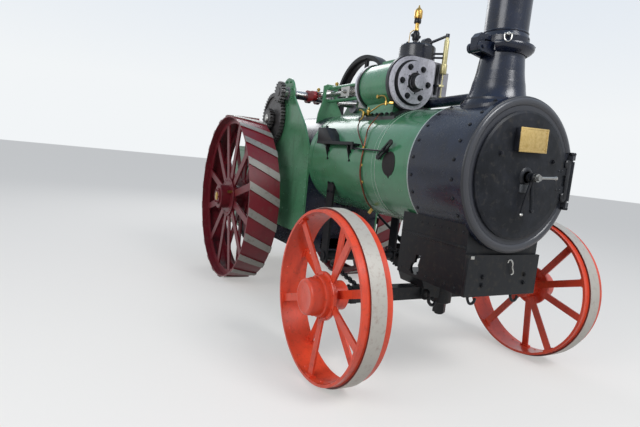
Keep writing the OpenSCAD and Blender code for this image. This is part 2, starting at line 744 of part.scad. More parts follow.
module second_shaft() {
    color("gray") {
        along_y(second_c[0], gear_y[1], second_c[1])
            cylinder(r = gear_shaft_r, h = horn_out + 4 - gear_y[1]);
        gear(second_c, second_gear_n, 0, 0, gear_shaft_r + 16);
        gear(second_c, second_pinion_n, 1, heading(second_c, third_c), 0);
        along_y(second_c[0], gear_y[1] + gear_w - 1, second_c[1]) cylinder(r = 60, h = gear_gap + 2);
    }
}

module third_shaft() {
    first = heading(second_c, third_c) + 180 + 180 / third_gear_n;
    color("gray") {
        along_y(third_c[0], gear_y[2], third_c[1])
            cylinder(r = gear_shaft_r, h = horn_out + 4 - gear_y[2]);
        gear(third_c, third_gear_n, 1, first, gear_shaft_r + 16);
        gear(third_c, third_pinion_n, 2, heading(third_c, axle_c), 0);
        along_y(third_c[0], gear_y[2] + gear_w - 1, third_c[1]) cylinder(r = 60, h = gear_gap + 2);
    }
}

// Rear wheel, drawn on the left side: wide rim, slanted strakes and two rows of spokes
module rear_wheel() {
    rim_r = rear_z - strake_t;
    rim_in = rim_r - 14;
    y0 = rear_wheel_out - rear_wheel_w;
    rows = [y0 + 78, rear_wheel_out - 78];
    color("maroon") translate([rear_axle_x, 0, rear_z]) {
        along_y(0, y0, 0) rotate_extrude() polygon([
            [rim_in, 0], [rim_r, 0], [rim_r, rear_wheel_w], [rim_in, rear_wheel_w]]);
        for (y = rows)
            along_y(0, y - 7, 0) difference() {
                cylinder(r = rim_in + 2, h = 14);
                translate([0, 0, -1]) cylinder(r = rim_in - 60, h = 16);
            }
        intersection() {
            along_y(0, y0, 0) difference() {
                cylinder(r = rear_z, h = rear_wheel_w);
                translate([0, 0, -1]) cylinder(r = rim_r - 2, h = rear_wheel_w + 2);
            }
            for (i = [0:strakes - 1])
                rotate([0, 90 + i * 360 / strakes, 0]) translate([rear_z, (y0 + rear_wheel_out) / 2, 0])
                    rotate([strake_slant, 0, 0]) cube([60, 2 * rear_wheel_w, strake_w], center = true);
        }
        for (k = [0, 1], i = [0:rear_spokes - 1])
            rotate([0, (i + k / 2) * 360 / rear_spokes, 0])
                translate([100, rows[k] - 9, -38]) cube([rim_in - 40 - 100, 18, 76]);
        difference() {
            union() {
                along_y(0, y0 + 30, 0) cylinder(r = 130, h = rear_wheel_w + 20);
                for (y = rows)
                    along_y(0, y - 22, 0) cylinder(r = 215, h = 44);
                along_y(0, rear_wheel_out + 49, 0) cylinder(r = 92, h = 16);
            }
            along_y(0, y0, 0) cylinder(r = rear_axle_r + run, h = rear_wheel_w + 40);
        }
    }
}
module rear_wheel_left() { rear_wheel(); }
module rear_wheel_right() { mirror([0, 1, 0]) rear_wheel(); }

// Crankshaft: one throw on the cylinder's line, two eccentrics and the pinion slid out of mesh
web_t = 40;
pin_half = 35;
ecc_r = 84;
ecc_throw = 36;
ecc_w = 32;
// Eccentrics: [y of the middle, angle from the crank]
ECCENTRICS = [[70, 105], [116, -105]];
module crankshaft() {
    left = horn_out + 12 + flywheel_w;
    web_out = pin_half + web_t;
    color("silver") difference() {
        union() {
            along_y(crank_x, gear_y[1] - 6, crank_z)
                cylinder(r = crank_shaft_r, h = crank_y - pin_half - gear_y[1] + 5);
            along_y(crank_x, crank_y + pin_half + 1, crank_z)
                cylinder(r = crank_shaft_r, h = left - crank_y - pin_half);
            for (y = [crank_y - web_out, crank_y + pin_half]) {
                along_y(crank_x, y, crank_z) cylinder(r = 68, h = web_t);
                along_y(crank_pin_x, y, crank_z) cylinder(r = 54, h = web_t);
                block([crank_x, y, crank_z - 54], [crank_pin_x, y + web_t, crank_z + 54]);
            }
            along_y(crank_pin_x, crank_y - pin_half - 1, crank_z) cylinder(r = 36, h = 2 * pin_half + 2);
            for (e = ECCENTRICS)
                along_y(crank_x + ecc_throw * cos(e[1]), e[0] - ecc_w / 2, crank_z + ecc_throw * sin(e[1]))
                    cylinder(r = ecc_r, h = ecc_w);
            gear(crank_c, crank_pinion_n, 1, 0, 0);
        }
    }
}

// Rod ends that turn with the crankshaft; they are parted from the fixed rods along an arc about it
strap_arc = throw + 75;
ecc_arc = ecc_throw + ecc_r + 28;
part_gap = 2;
module about_crank(r, y, w) { along_y(crank_x, y, crank_z) cylinder(r = r, h = w); }
module rod_straps() {
    w = pin_half - 3;
    color("gainsboro") {
        difference() {
            intersection() {
                union() {
                    along_y(crank_pin_x, crank_y - w, crank_z) cylinder(r = 58, h = 2 * w);
                    block([crank_pin_x, crank_y - w, crank_z - 40],
                          [crank_pin_x + 90, crank_y + w, crank_z + 40]);
                }
                about_crank(strap_arc, crank_y - w, 2 * w);
            }
            along_y(crank_pin_x, crank_y - w - 1, crank_z) cylinder(r = 36 + run, h = 2 * w + 2);
        }
        for (e = ECCENTRICS)
            difference() {
                intersection() {
                    translate([crank_x + ecc_throw * cos(e[1]), e[0] - 12, crank_z + ecc_throw * sin(e[1])]) {
                        along_y(0, 0, 0) cylinder(r = ecc_r + 20, h = 24);
                        block([0, 0, -20], [160, 24, 20]);
                    }
                    about_crank(ecc_arc, e[0] - 12, 24);
                }
                along_y(crank_x + ecc_throw * cos(e[1]), e[0] - 13, crank_z + ecc_throw * sin(e[1]))
                    cylinder(r = ecc_r + run, h = 26);
            }
    }
}

module flywheel() {
    y0 = horn_out + 12;
    color("black") translate([crank_x, y0, crank_z]) difference() {
        union() {
            along_y(0, 0, 0) rotate_extrude() polygon([
                [flywheel_r - 42, 0], [flywheel_r - 3, 0], [flywheel_r, flywheel_w / 2],
                [flywheel_r - 3, flywheel_w], [flywheel_r - 42, flywheel_w],
                [flywheel_r - 42, flywheel_w * 0.62], [flywheel_r - 62, flywheel_w * 0.58],
                [flywheel_r - 62, flywheel_w * 0.42], [flywheel_r - 42, flywheel_w * 0.38]]);
            along_y(0, 0, 0) cylinder(r = 92, h = flywheel_w);
            for (i = [0:5])
                rotate([0, i * 60 + 30, 0]) translate([60, flywheel_w / 2, 0]) rotate([0, 90, 0])
                    cylinder(r1 = 34, r2 = 24, h = flywheel_r - 110);
        }
        along_y(0, -1, 0) cylinder(r = crank_shaft_r + run, h = flywheel_w + 2);
    }
}

// Cylinder with its saddle on the boiler
// End face of the cylinder: a disc with a square upper corner towards the valve chest
module end_outline(grow) {
    r = cyl_flange_r + grow;
    corner = 45;
    translate([crank_y, crank_z]) {
        circle(r = r);
        square([r - corner, r]);
        square([r, r - corner]);
        translate([r - corner, r - corner]) circle(r = corner);
    }
}

module cylinder_block() {
    top = boiler_z + barrel_r;
    saddle_x0 = cyl_rear_x;
    saddle_x1 = cyl_front_x + 40 - fit;
    exhaust_side = exhaust_y_at(cyl_front_x - 60) + exhaust_r + 12;
    color("seagreen") difference() {
        union() {
            along_x(cyl_rear_x, crank_y, crank_z) cylinder(r = cyl_r, h = cyl_len);
            along_x(cyl_rear_x, crank_y, crank_z) cylinder(r = cyl_flange_r - 8, h = 26);
            cross_plate(cyl_front_x - 30, 30) end_outline(12);
            cross_plate(cyl_rear_x + 60, cyl_len - 89) translate([crank_y, crank_z])
                square([valve_y0 - crank_y, cyl_top_z - crank_z]);
            cross_plate(cyl_rear_x + 40, cyl_len - 100) polygon([
                [crank_y - 130, top - 115], [crank_y - 98, top - 25], [crank_y - 90, top + 55],
                [crank_y - 122, crank_z - 40], [crank_y, crank_z], [valve_y0, crank_z],
                [valve_y0, exhaust_z + 50], [exhaust_side, exhaust_z + 46], [exhaust_side, exhaust_z - 40],
                [200, top - 55], [230, top - 115]]);
            intersection() {
                block([saddle_x0, -285, boiler_z], [saddle_x1, 285, crank_z]);
                along_x(saddle_x0, 0, boiler_z) cylinder(r = barrel_r + saddle_t, h = saddle_x1 - saddle_x0);
            }
        }
        along_x(saddle_x0 - 1, 0, boiler_z) cylinder(r = barrel_r + fit, h = saddle_x1 - saddle_x0 + 2);
        cross_plate(cyl_front_x, saddle_x1 - cyl_front_x + 1) end_outline(fit);
    }
}

module valve_chest() {
    x0 = cyl_rear_x + 60;
    x1 = cyl_front_x - 50;
    low = crank_z - 60;
    color("gray") difference() {
        union() {
            block([x0, valve_y0 + seat, low], [x1, valve_y0 + 61, cyl_top_z]);
            soft_block([x0, valve_y0 + 30, low], [x1, valve_step_y, cyl_top_z], 24);
            soft_block([x0 - 14, valve_step_y - 8, low - 14], [x1 + 14, valve_step_y + 14, crank_z + 165], 8);
            soft_block([x0, valve_step_y, low], [x1, valve_y1, crank_z + 150], 40);
            along_x(cyl_rear_x + 10, valve_rod_y, crank_z) cylinder(r = 32, h = 51);
            // Rounded housing behind the casing
            cross_plate(cyl_front_x - 300, 100) {
                translate([70, cyl_top_z - 1]) square([160, 60]);
                translate([70, cyl_top_z - 1]) square([90, 130]);
                translate([160, cyl_top_z + 59]) circle(r = 70);
            }
        }
        translate([casing_c[0], casing_c[1], cyl_top_z]) cylinder(r = casing_r + 1, h = casing_h + 40);
    }
}

module cylinder_covers() {
    color("gray") {
        cross_plate(cyl_front_x, cover_t) end_outline(0);
        along_x(cyl_front_x, crank_y, crank_z) {
            cylinder(r = cyl_flange_r - 43, h = 60);
            difference() {
                cylinder(r = 86, h = 68);
                translate([0, 0, 60]) cylinder(r = 76, h = 9);
            }
            cylinder(r = 50, h = 96);
            for (i = [0:5])
                rotate(i * 60 + 30) translate([cyl_flange_r - 80, 0, 0]) cylinder(r = 15, h = 80, $fn = 6);
        }
        along_x(cyl_rear_x - 30, crank_y, crank_z) difference() {
            union() {
                cylinder(r = cyl_flange_r - 10, h = 30 - seat);
                translate([0, 0, -50]) cylinder(r = bar_z - 4, h = 51);
            }
            translate([0, 0, -51]) cylinder(r = piston_rod_r + run, h = 82);
        }
    }
}

// Round casing with the safety valve's lever and its spring balance
module safety_valve() {
    c = [casing_c[0], casing_c[1], cyl_top_z + seat];
    lobe_y = casing_c[1] + 85;
    tip = [cyl_front_x - 4, 178, casing_top_z + 88];
    balance_low = crank_z + 130;
    arm_z = crank_z + 22;
    arm_x = cyl_front_x - 50 + fit;
    color("black") {
        translate(c) rotate_extrude() polygon(concat(
            [[0, 0], [casing_r, 0]],
            [for (a = [0:18:90]) [casing_r - 20 + 20 * cos(a), casing_h - 20 + 20 * sin(a)]],
            [[0, casing_h]]));
        cross_plate(casing_c[0] - 26, 52) {
            translate([lobe_y, casing_top_z + 38]) circle(r = 42);
            translate([lobe_y - 55, casing_top_z - 1]) square([97, 40]);
        }
        rod([casing_c[0] + 24, lobe_y, casing_top_z + 34], tip, 11);
        translate(tip - [0, 0, 14]) cylinder(r = 16, h = 28);
    }
    // Spring balance: tube, cup, rod and the arm on the valve chest that holds it
    color("gold") translate([tip[0], tip[1], 0]) {
        translate([0, 0, balance_low + 70]) cylinder(r = 14, h = tip[2] - balance_low - 83);
        translate([0, 0, balance_low]) cylinder(r = 23, h = 71);
        translate([0, 0, arm_z - 86]) cylinder(r = 6, h = balance_low - arm_z + 87);
        translate([0, 0, arm_z - 86]) cylinder(r = 13, h = 12);
    }
    color("black") translate([0, 0, arm_z]) linear_extrude(16)
        polygon([[arm_x, tip[1] - 58], [arm_x, tip[1] - 16], [tip[0] - 10, tip[1] + 16],
                 [tip[0] + 16, tip[1] + 10], [tip[0] + 10, tip[1] - 16]]);
}

module whistle() {
    color("gold") translate([casing_c[0] + 10, casing_c[1] - 40, casing_top_z + seat])
        rotate_extrude() polygon([
            [0, 0], [34, 0], [34, 12], [20, 18], [17, 56], [10, 62], [9, 118], [9, 176], [20, 180],
            [20, 190], [10, 194], [10, 202], [24, 206], [24, 216], [13, 221], [24, 232], [31, 250],
            [30, 268], [18, 286], [7, 296], [4, 314], [0, 316]]);
}

// Exhaust pipe from the cylinder's front, beside its flange, to the chimney's foot
module exhaust_pipe() {
    x0 = cyl_front_x - 60 + fit;
    color("black") difference() {
        rod([x0 - 40, exhaust_y_at(x0 - 40), exhaust_z], [chimney_x, 0, exhaust_z], exhaust_r);
        translate([chimney_x, 0, boiler_z]) rotate_extrude() foot_section(fit);
        block([cyl_rear_x, -400, boiler_z], [x0, 400, crank_z + 100]);
    }
}

// Two pairs of slide bars, carried by the rear cover and by a bracket on the boiler
module slide_bars() {
    color("seagreen") {
        for (k = [-1, 1])
            along_x(guide_x, crank_y, crank_z + k * (bar_z + bar_t / 2))
                cylinder(r = bar_t / 2, h = cyl_rear_x - 30 - fit - guide_x);
        difference() {
            cross_plate(guide_x - 24, 25) difference() {
                polygon([
                    [crank_y - 130, boiler_z + 300], [crank_y - 116, boiler_z + 440],
                    [crank_y - 78, crank_z - 70], [crank_y - 78, crank_z + 84],
                    [crank_y - 50, crank_z + 100], [crank_y + 50, crank_z + 100],
                    [crank_y + 78, crank_z + 84], [crank_y + 78, crank_z - 70],
                    [crank_y + 150, boiler_z + 460],
                    [crank_y + 190, boiler_z + 380]]);
                translate([crank_y - 50, crank_z - bar_z]) square([100, 2 * bar_z]);
            }
            firebox_form(horn_y + fit, guide_x - 30, guide_x + 30, firebox_rise + fit);
        }
    }
}

module crosshead() {
    h = bar_z - fit;
    // Cheeks and end plate: [x from, x to, y from, y to] about the crosshead's pin
    blocks = [[-70, 70, -50, -30], [-70, 70, 30, 50], [48, 90, -50, 50]];
    color("silver") translate([crosshead_x, crank_y, crank_z]) difference() {
        union() {
            for (b = blocks)
                block([b[0], b[2], -h], [b[1], b[3], h]);
            along_x(89, 0, 0) cylinder(r = piston_rod_r, h = cyl_rear_x - fit - crosshead_x - 89);
        }
        along_y(0, -60, 0) cylinder(r = 18, h = 120);
    }
}

module connecting_rod() {
    w = pin_half - 5;
    x0 = crank_x + strap_arc;
    color("silver") difference() {
        union() {
            block([x0 - 10, crank_y - w, crank_z - 40], [x0 + 46, crank_y + w, crank_z + 40]);
            along_x(x0 + 45, crank_y, crank_z) cylinder(r1 = 30, r2 = 22, h = crosshead_x - x0 - 70);
            along_y(crosshead_x, crank_y - 28, crank_z) cylinder(r = 40, h = 56);
            along_y(crosshead_x, crank_y - 58, crank_z) cylinder(r = 18 - run, h = 116);
        }
        about_crank(strap_arc + part_gap, crank_y - w - 1, 2 * w + 2);
    }
}

link_x = crank_x + rod_len - 10;
module valve_gear() {
    color("silver") {
        for (e = ECCENTRICS) {
            z = crank_z + ecc_throw * sin(e[1]);
            difference() {
                rod([crank_x + 100, e[0], z], [link_x, e[0], crank_z + (e[1] > 0 ? 70 : -70)], 13);
                about_crank(ecc_arc + part_gap, e[0] - 40, 80);
            }
        }
        side_plate(ECCENTRICS[0][0] - 20, ECCENTRICS[1][0] - ECCENTRICS[0][0] + 40) difference() {
            intersection() {
                translate([link_x - 560, crank_z]) circle(r = 590);
                translate([link_x - 60, crank_z - 110]) square([120, 220]);
            }
            translate([link_x - 560, crank_z]) circle(r = 545);
        }
        rod([link_x + 10, valve_rod_y, crank_z], [cyl_rear_x + 10 - fit, valve_rod_y, crank_z], 13);
    }
}

// Steering: barrel in two hangers below the boiler, with its worm wheel on the left
hanger_y = 370;
module steering_barrel() {
    color("black") {
        both_sides() difference() {
            block([drum_x - 55, hanger_y, drum_z - 60], [drum_x + 55, hanger_y + 20, boiler_z]);
            along_x(drum_x - 60, 0, boiler_z) cylinder(r = barrel_r + fit, h = 120);
        }
        along_y(drum_x, -hanger_y - 30, drum_z) cylinder(r = 22, h = 2 * hanger_y + 130);
        along_y(drum_x, -hanger_y, drum_z) cylinder(r = drum_r, h = 2 * hanger_y);
        translate([drum_x, column_y - 26, drum_z]) side_plate(0, 52) gear_form(worm_wheel_n, 90);
    }
}

column_y = 470;
worm_wheel_n = 18;
worm_r = 30;
worm_d = tip_r(worm_wheel_n) + worm_r + 3;
column_tilt = 22;
// Steering handwheel, over the tender's front on the left
wheel_centre = [horn_back_x - 70, column_y - 4, footplate_z + 820];
module steering_column() {
    // Middle of the worm, square above the worm wheel, and the direction to the handwheel
    m = [drum_x + worm_d * sin(column_tilt), column_y, drum_z + worm_d * cos(column_tilt)];
    d = wheel_centre - m;
    u = d / norm(d);
    // Bearing plate behind the hornplate, where the column passes it
    plate_x = horn_back_x + 60;
    plate_z = m[2] + d[2] * (plate_x - m[0]) / d[0];
    color("black") {
        rod(m - 120 * u, wheel_centre + 30 * u, 14);
        rod(m - 80 * u, m + 80 * u, worm_r - 8);
        for (k = [-2:2])
            rod(m + (30 * k - 8) * u, m + (30 * k + 8) * u, worm_r);
        translate(wheel_centre) rotate([0, acos(u[2]), atan2(u[1], u[0])]) {
            rotate_extrude() translate([handwheel_r, 0]) circle(r = 12, $fn = 24);
            cylinder(r = 30, h = 30, center = true);
            for (i = [0:3])
                rotate([0, 90, i * 90]) cylinder(r = 9, h = handwheel_r);
            translate([handwheel_r, 0, 10]) cylinder(r = 11, h = 80);
        }
        difference() {
            block([plate_x, horn_out, plate_z - 120], [plate_x + 30, column_y + 24, plate_z + 50]);
            rod(m, wheel_centre, 14 + fit);
        }
    }
}

// Right side of the boiler: a shelf, a slotted lever on a stud and the rod between them
module side_linkage() {
    z = boiler_z + 120;
    edge_y = -500;
    shelf_x = [drum_x - 140, drum_x + 480];
    lever = [smokebox_x - 282, boiler_z + 96];
    lever_y = -462;
    color("black") {
        difference() {
            union() {
                block([shelf_x[0], edge_y, z], [shelf_x[1], 0, z + 14]);
                block([shelf_x[0], edge_y, z + 10], [shelf_x[1], edge_y + 12, z + 24]);
                for (x = [shelf_x[0] + 120, shelf_x[1] - 130])
                    side_to_boiler(x, edge_y + 30, z);
                along_y(lever[0], lever_y, lever[1]) cylinder(r = 20, h = -lever_y);
            }
            along_x(firebox_x, 0, boiler_z) cylinder(r = barrel_r + fit, h = barrel_len);
        }
        side_plate(lever_y - 6, 12) difference() {
            translate(lever) rotate(39) union() {
                square([176, 40], center = true);
                for (k = [-1, 1])
                    translate([88 * k, 0]) circle(r = 20);
            }
            translate(lever) rotate(39) square([140, 14], center = true);
        }
        rod([shelf_x[1] - 30, lever_y - 12, z - 25], [lever[0] - 13, lever_y - 12, lever[1] - 11], 7);
        block([shelf_x[1] - 45, lever_y - 26, z - 36], [shelf_x[1] - 15, lever_y + 4, z + 1]);
    }
}

// A triangular gusset under the shelf
module side_to_boiler(x, y, z) {
    cross_plate(x, 12)
        polygon([[y, z + 1], [0, z + 1], [0, z - 170], [16 - barrel_r, z - 170], [y, z - 30]]);
}

// Tender: side plates, back plate and the bunker's front, around the coal space
module tender() {
    out = horn_y;
    low = footplate_z - 30;
    door = [180, bunker_floor_z + tender_t, bunker_floor_z + 280];
    side = [
        [tender_x, low], [horn_back_x + 90, low], [horn_back_x + 90, footplate_z + 400],
        [horn_back_x - 40, footplate_z + 530], [bunker_x + 40, footplate_z + 530],
        [bunker_x - 30, bunker_z], [tender_x, bunker_z]];
    color("seagreen") {
        both_sides() side_plate(out - tender_t, tender_t) polygon(side);
        block([tender_x, 1 - out, low], [tender_x + tender_t, out - 1, bunker_z]);
        difference() {
            block([bunker_x - tender_t, 1 - out, footplate_z + 12], [bunker_x, out - 1, bunker_z - 60]);
            block([bunker_x - tender_t - 1, -door[0], door[1]], [bunker_x + 1, door[0], door[2]]);
        }
        block([tender_x + 1, 1 - out, bunker_floor_z], [bunker_x - 1, out - 1, bunker_floor_z + tender_t]);
        // Half-round beading along the top edge
        both_sides()
            rod([tender_x, out - tender_t / 2, bunker_z], [bunker_x - 30, out - tender_t / 2, bunker_z], 10);
        translate([tender_x + tender_t / 2, out - tender_t / 2, bunker_z]) rotate([90, 0, 0])
            cylinder(r = 10, h = 2 * out - tender_t);
    }
}

module water_tank() {
    out = horn_y - tender_t - fit;
    color("seagreen")
        block([tender_x + tender_t + fit, -out, tank_low_z],
              [bunker_x - tender_t - fit, out, bunker_floor_z - fit]);
}

module footplate() {
    out = horn_y - tender_t - fit;
    color("dimgray") block([bunker_x + fit, -out, footplate_z], [backhead_x - fit, out, footplate_z + 12]);
}

// Rear hitch: a clevis with a vertical pin hole
module drawbar() {
    eye_r = 45;
    ear_t = 25;
    low = tank_low_z + 110;
    pin_x = tender_x - drawbar_len + eye_r;
    color("black") difference() {
        union() {
            block([tender_x - 24, -200, low - 70], [tender_x, 200, low + 180]);
            for (z = [low, low + 85]) {
                block([pin_x, -eye_r, z], [tender_x - 23, eye_r, z + ear_t]);
                translate([pin_x, 0, z]) cylinder(r = eye_r, h = ear_t);
            }
        }
        translate([pin_x, 0, low - 40]) cylinder(r = 16, h = 200);
    }
}

// Gauge glass, regulator, pressure gauge and levers on the backhead
module backhead_fittings() {
    x = backhead_x;
    door_z = boiler_z - 260;
    gauge_y = 120;
    color("goldenrod") {
        along_x(x - 60, -60, boiler_z + 300) cylinder(r = 75, h = 60);
        for (z = [boiler_z + 120, boiler_z + 330])
            along_x(x - 70, gauge_y, z) cylinder(r = 20, h = 70);
        rod([x - 50, gauge_y, boiler_z + 100], [x - 50, gauge_y, boiler_z + 350], 9);
        along_x(x - 90, -220, boiler_z + 150) cylinder(r = 26, h = 90);
        rod([x - 80, -220, boiler_z + 150], [x - 80, -330, boiler_z + 290], 9);
        // Hinge brackets and pin of the fire door
        for (s = [-1, 1]) {
            z = door_z + s * 155;
            block([firedoor_hinge_x, firedoor_hinge_y - 14, z - 14], [x, firedoor_hinge_y + 14, z + 14]);
            translate([firedoor_hinge_x, firedoor_hinge_y, z - 14]) cylinder(r = 14, h = 28);
        }
        translate([firedoor_hinge_x, firedoor_hinge_y, door_z - 160]) cylinder(r = 8, h = 320);
    }
}

boiler_barrel();
firebox();
ashpan();
firehole_door();
smokebox();
smokebox_door();
chimney_base();
chimney();
hornplates();
shaft_bearings();
perch_bracket();
front_axle();
front_wheel_left();
front_wheel_right();
rear_axle();
axle_gear();
rear_wheel_left();
rear_wheel_right();
crankshaft();
rod_straps();
flywheel();
second_shaft();
third_shaft();
cylinder_block();
cylinder_covers();
valve_chest();
safety_valve();
whistle();
exhaust_pipe();
side_linkage();
slide_bars();
crosshead();
connecting_rod();
valve_gear();
steering_barrel();
steering_column();
steering_chain_left();
steering_chain_right();
tender();
water_tank();
footplate();
drawbar();
backhead_fittings();
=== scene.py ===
import itertools
import json
import math

import bmesh
import bpy
from mathutils import Matrix, Vector


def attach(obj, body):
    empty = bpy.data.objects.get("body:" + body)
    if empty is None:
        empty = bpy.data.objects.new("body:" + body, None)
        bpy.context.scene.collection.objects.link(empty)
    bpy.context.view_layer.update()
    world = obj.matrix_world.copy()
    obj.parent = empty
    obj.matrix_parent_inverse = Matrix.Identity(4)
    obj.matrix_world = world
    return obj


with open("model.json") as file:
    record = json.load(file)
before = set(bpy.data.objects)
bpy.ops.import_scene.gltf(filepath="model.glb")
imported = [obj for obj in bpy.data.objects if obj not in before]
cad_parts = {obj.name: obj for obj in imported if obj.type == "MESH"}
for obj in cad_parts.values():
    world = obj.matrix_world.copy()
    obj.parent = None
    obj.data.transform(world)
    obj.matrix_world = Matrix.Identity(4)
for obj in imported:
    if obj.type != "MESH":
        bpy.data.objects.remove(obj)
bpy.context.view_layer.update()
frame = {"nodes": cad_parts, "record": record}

nodes = frame["nodes"]
bpy.context.scene.view_settings.view_transform = "Standard"

# Places of the part's own solids, in metres
FRONT_AXLE = (1.700, 0.5715)        # x, z, as for the shafts and the crank
REAR_AXLE = (-0.950, 0.914)
CRANK = (-0.500, 2.100)
SECOND_SHAFT = (-0.7673, 1.8327)
THIRD_SHAFT = (-0.9472, 1.5139)
FRONT_WHEEL_Y = 0.965
REAR_WHEEL_Y = 0.772
HORN_Y = 0.440
BOILER_Z = 1.460
BARREL_R = 0.445
SMOKEBOX_R = 0.458
DOOR_X = 2.254
CYLINDER = (-0.140, 2.100)          # y, z
CYL_FRONT_X = 1.210
CYL_REAR_X = 0.730
CASING = (1.040, 0.020)             # x, y
CASING_TOP_Z = 2.4401
BALANCE = (1.206, 0.178)            # x, y
CHIMNEY_X = 1.970
JOINT_Z = 2.290
BACKHEAD_X = -0.650
TENDER_BACK_X = -2.1998
TENDER_SIDE_Y = 0.4198

RIGHT, LEFT, UP, AHEAD, BACK = (0, -1, 0), (0, 1, 0), (0, 0, 1), (1, 0, 0), (-1, 0, 0)


def add_object(name, data):
    obj = bpy.data.objects.new(name, data)
    bpy.context.scene.collection.objects.link(obj)
    return obj


def mesh_of(bm, name="small"):
    mesh = bpy.data.meshes.new(name)
    bm.to_mesh(mesh)
    bm.free()
    return mesh


# Camera and light
def place_camera():
    """The photograph's view: in front of the engine and to its right, at eye height."""
    right = Vector((0.46219, 0.88099, 0.10121))
    up = Vector((-0.14763, -0.03610, 0.98838))
    forward = Vector((-0.87441, 0.47176, -0.11337))
    lens = bpy.data.cameras.new("camera")
    lens.lens = 26.72
    lens.sensor_width = 36
    lens.clip_end = 200
    camera = add_object("camera", lens)
    turn = Matrix((right, up, -forward)).transposed()
    camera.matrix_world = Matrix.Translation((4.293, -2.487, 1.4415)) @ turn.to_4x4()
    bpy.context.scene.camera = camera


def lamp(name, place, target, size, power):
    light = bpy.data.lights.new(name, "AREA")
    light.shape = "DISK"
    light.size = size
    light.energy = power
    obj = add_object(name, light)
    obj.location = place
    obj.rotation_euler = (Vector(target) - Vector(place)).to_track_quat("-Z", "Y").to_euler()


def linear(hex_colour):
    """An sRGB hex colour as the linear RGBA that a socket takes."""
    out = []
    for i in (1, 3, 5):
        c = int(hex_colour[i:i + 2], 16) / 255
        out.append(c / 12.92 if c <= 0.04045 else ((c + 0.055) / 1.055) ** 2.4)
    return (*out, 1.0)


def empty_tree(owner):
    """The node tree of a material or world, with nothing in it yet."""
    owner.use_nodes = True
    owner.node_tree.nodes.clear()
    return owner.node_tree


def add(tree, kind, inputs=None, **settings):
    """Adds a node with its settings; an input is a value or another node's output."""
    made = tree.nodes.new(kind)
    for name, value in settings.items():
        setattr(made, name, value)
    for name, value in (inputs or {}).items():
        if isinstance(value, bpy.types.NodeSocket):
            tree.links.new(value, made.inputs[name])
        else:
            made.inputs[name].default_value = value
    return made


def seen_directly(tree):
    """1 for what the camera sees, also in metal and through glass, and 0 for the light it gives."""
    path = add(tree, "ShaderNodeLightPath").outputs
    seen = path["Is Camera Ray"]
    for ray in ("Is Glossy Ray", "Is Transmission Ray"):
        seen = add(tree, "ShaderNodeMath", {0: seen, 1: path[ray]}, operation="MAXIMUM").outputs[0]
    return seen


def light_scene():
    world = bpy.data.worlds.new("studio")
    bpy.context.scene.world = world
    tree = empty_tree(world)
    # Pale at the level of the eye, and bluer overhead, as a studio's hung cloth is
    way = add(tree, "ShaderNodeTexCoord").outputs["Generated"]
    height = add(tree, "ShaderNodeSeparateXYZ", {0: way}).outputs[2]
    rise = add(tree, "ShaderNodeMapRange", {"Value": height, "From Min": 0.12, "From Max": 0.85}).outputs[0]
    cloth = add(tree, "ShaderNodeMix", {0: rise, 6: linear("#F2F5F7"), 7: linear("#B9CCE4")},
                data_type="RGBA").outputs[2]
    sky = add(tree, "ShaderNodeBackground", {"Color": cloth, "Strength": 0.55}).outputs[0]
    wall = add(tree, "ShaderNodeBackground", {"Color": cloth, "Strength": 1.0}).outputs[0]
    mixed = add(tree, "ShaderNodeMixShader", {0: seen_directly(tree), 1: sky, 2: wall})
    add(tree, "ShaderNodeOutputWorld", {"Surface": mixed.outputs[0]})
    lamp("key", (7.2, 1.2, 7.0), (0.6, 0, 1.0), 3.4, 430)
    lamp("fill", (3.5, -7.0, 4.5), (0.6, 0, 1.0), 4.0, 230)
    lamp("back", (-7.0, 1.0, 6.0), (-0.5, 0, 1.2), 4.0, 160)


def make_floor():
    bm = bmesh.new()
    bmesh.ops.create_grid(bm, x_segments=1, y_segments=1, size=60)
    floor = add_object("floor", mesh_of(bm, "floor"))
    paint = bpy.data.materials.new("floor_paint")
    tree = empty_tree(paint)
    matt = add(tree, "ShaderNodeBsdfDiffuse", {"Color": linear("#B4B2AF")})
    lift = add(tree, "ShaderNodeMath", {0: seen_directly(tree), 1: 0.42}, operation="MULTIPLY")
    glow = add(tree, "ShaderNodeEmission", {"Color": linear("#F6F5F3"), "Strength": lift.outputs[0]})
    both = add(tree, "ShaderNodeAddShader", {0: matt.outputs[0], 1: glow.outputs[0]})
    add(tree, "ShaderNodeOutputMaterial", {"Surface": both.outputs[0]})
    floor.data.materials.append(paint)


place_camera()
light_scene()
make_floor()


# Materials
def between(tree, value, low, high, edge=0.0006):
    """1 where VALUE lies from LOW to HIGH, with a narrow soft edge, else 0."""
    rise = add(tree, "ShaderNodeMapRange", {
        "Value": value, "From Min": low - edge, "From Max": low + edge})
    fall = add(tree, "ShaderNodeMapRange", {
        "Value": value, "From Min": high - edge, "From Max": high + edge, "To Min": 1.0, "To Max": 0.0})
    return add(tree, "ShaderNodeMath", {0: rise.outputs[0], 1: fall.outputs[0]},
               operation="MULTIPLY").outputs[0]


def inside(tree, place, tests):
    """Where all of TESTS hold: ("x" | "y" | "z", low, high) along an axis, or
    ("round", (x, y, z), (a, b, c), low, high) for the distance from a line through a point, where
    (a, b, c) is 0 along the line and 1 across it."""
    out = None
    for kind, *about, low, high in tests:
        if kind == "round":
            point, square = about
            shifted = add(tree, "ShaderNodeVectorMath", {0: place, 1: point}, operation="SUBTRACT")
            across = add(tree, "ShaderNodeVectorMath", {0: shifted.outputs[0], 1: square},
                         operation="MULTIPLY")
            value = add(tree, "ShaderNodeVectorMath", {0: across.outputs[0]},
                        operation="LENGTH").outputs["Value"]
        else:
            value = add(tree, "ShaderNodeSeparateXYZ", {0: place}).outputs["xyz".index(kind)]
        mask = between(tree, value, low, high)
        out = mask if out is None else add(
            tree, "ShaderNodeMath", {0: out, 1: mask}, operation="MULTIPLY").outputs[0]
    return out


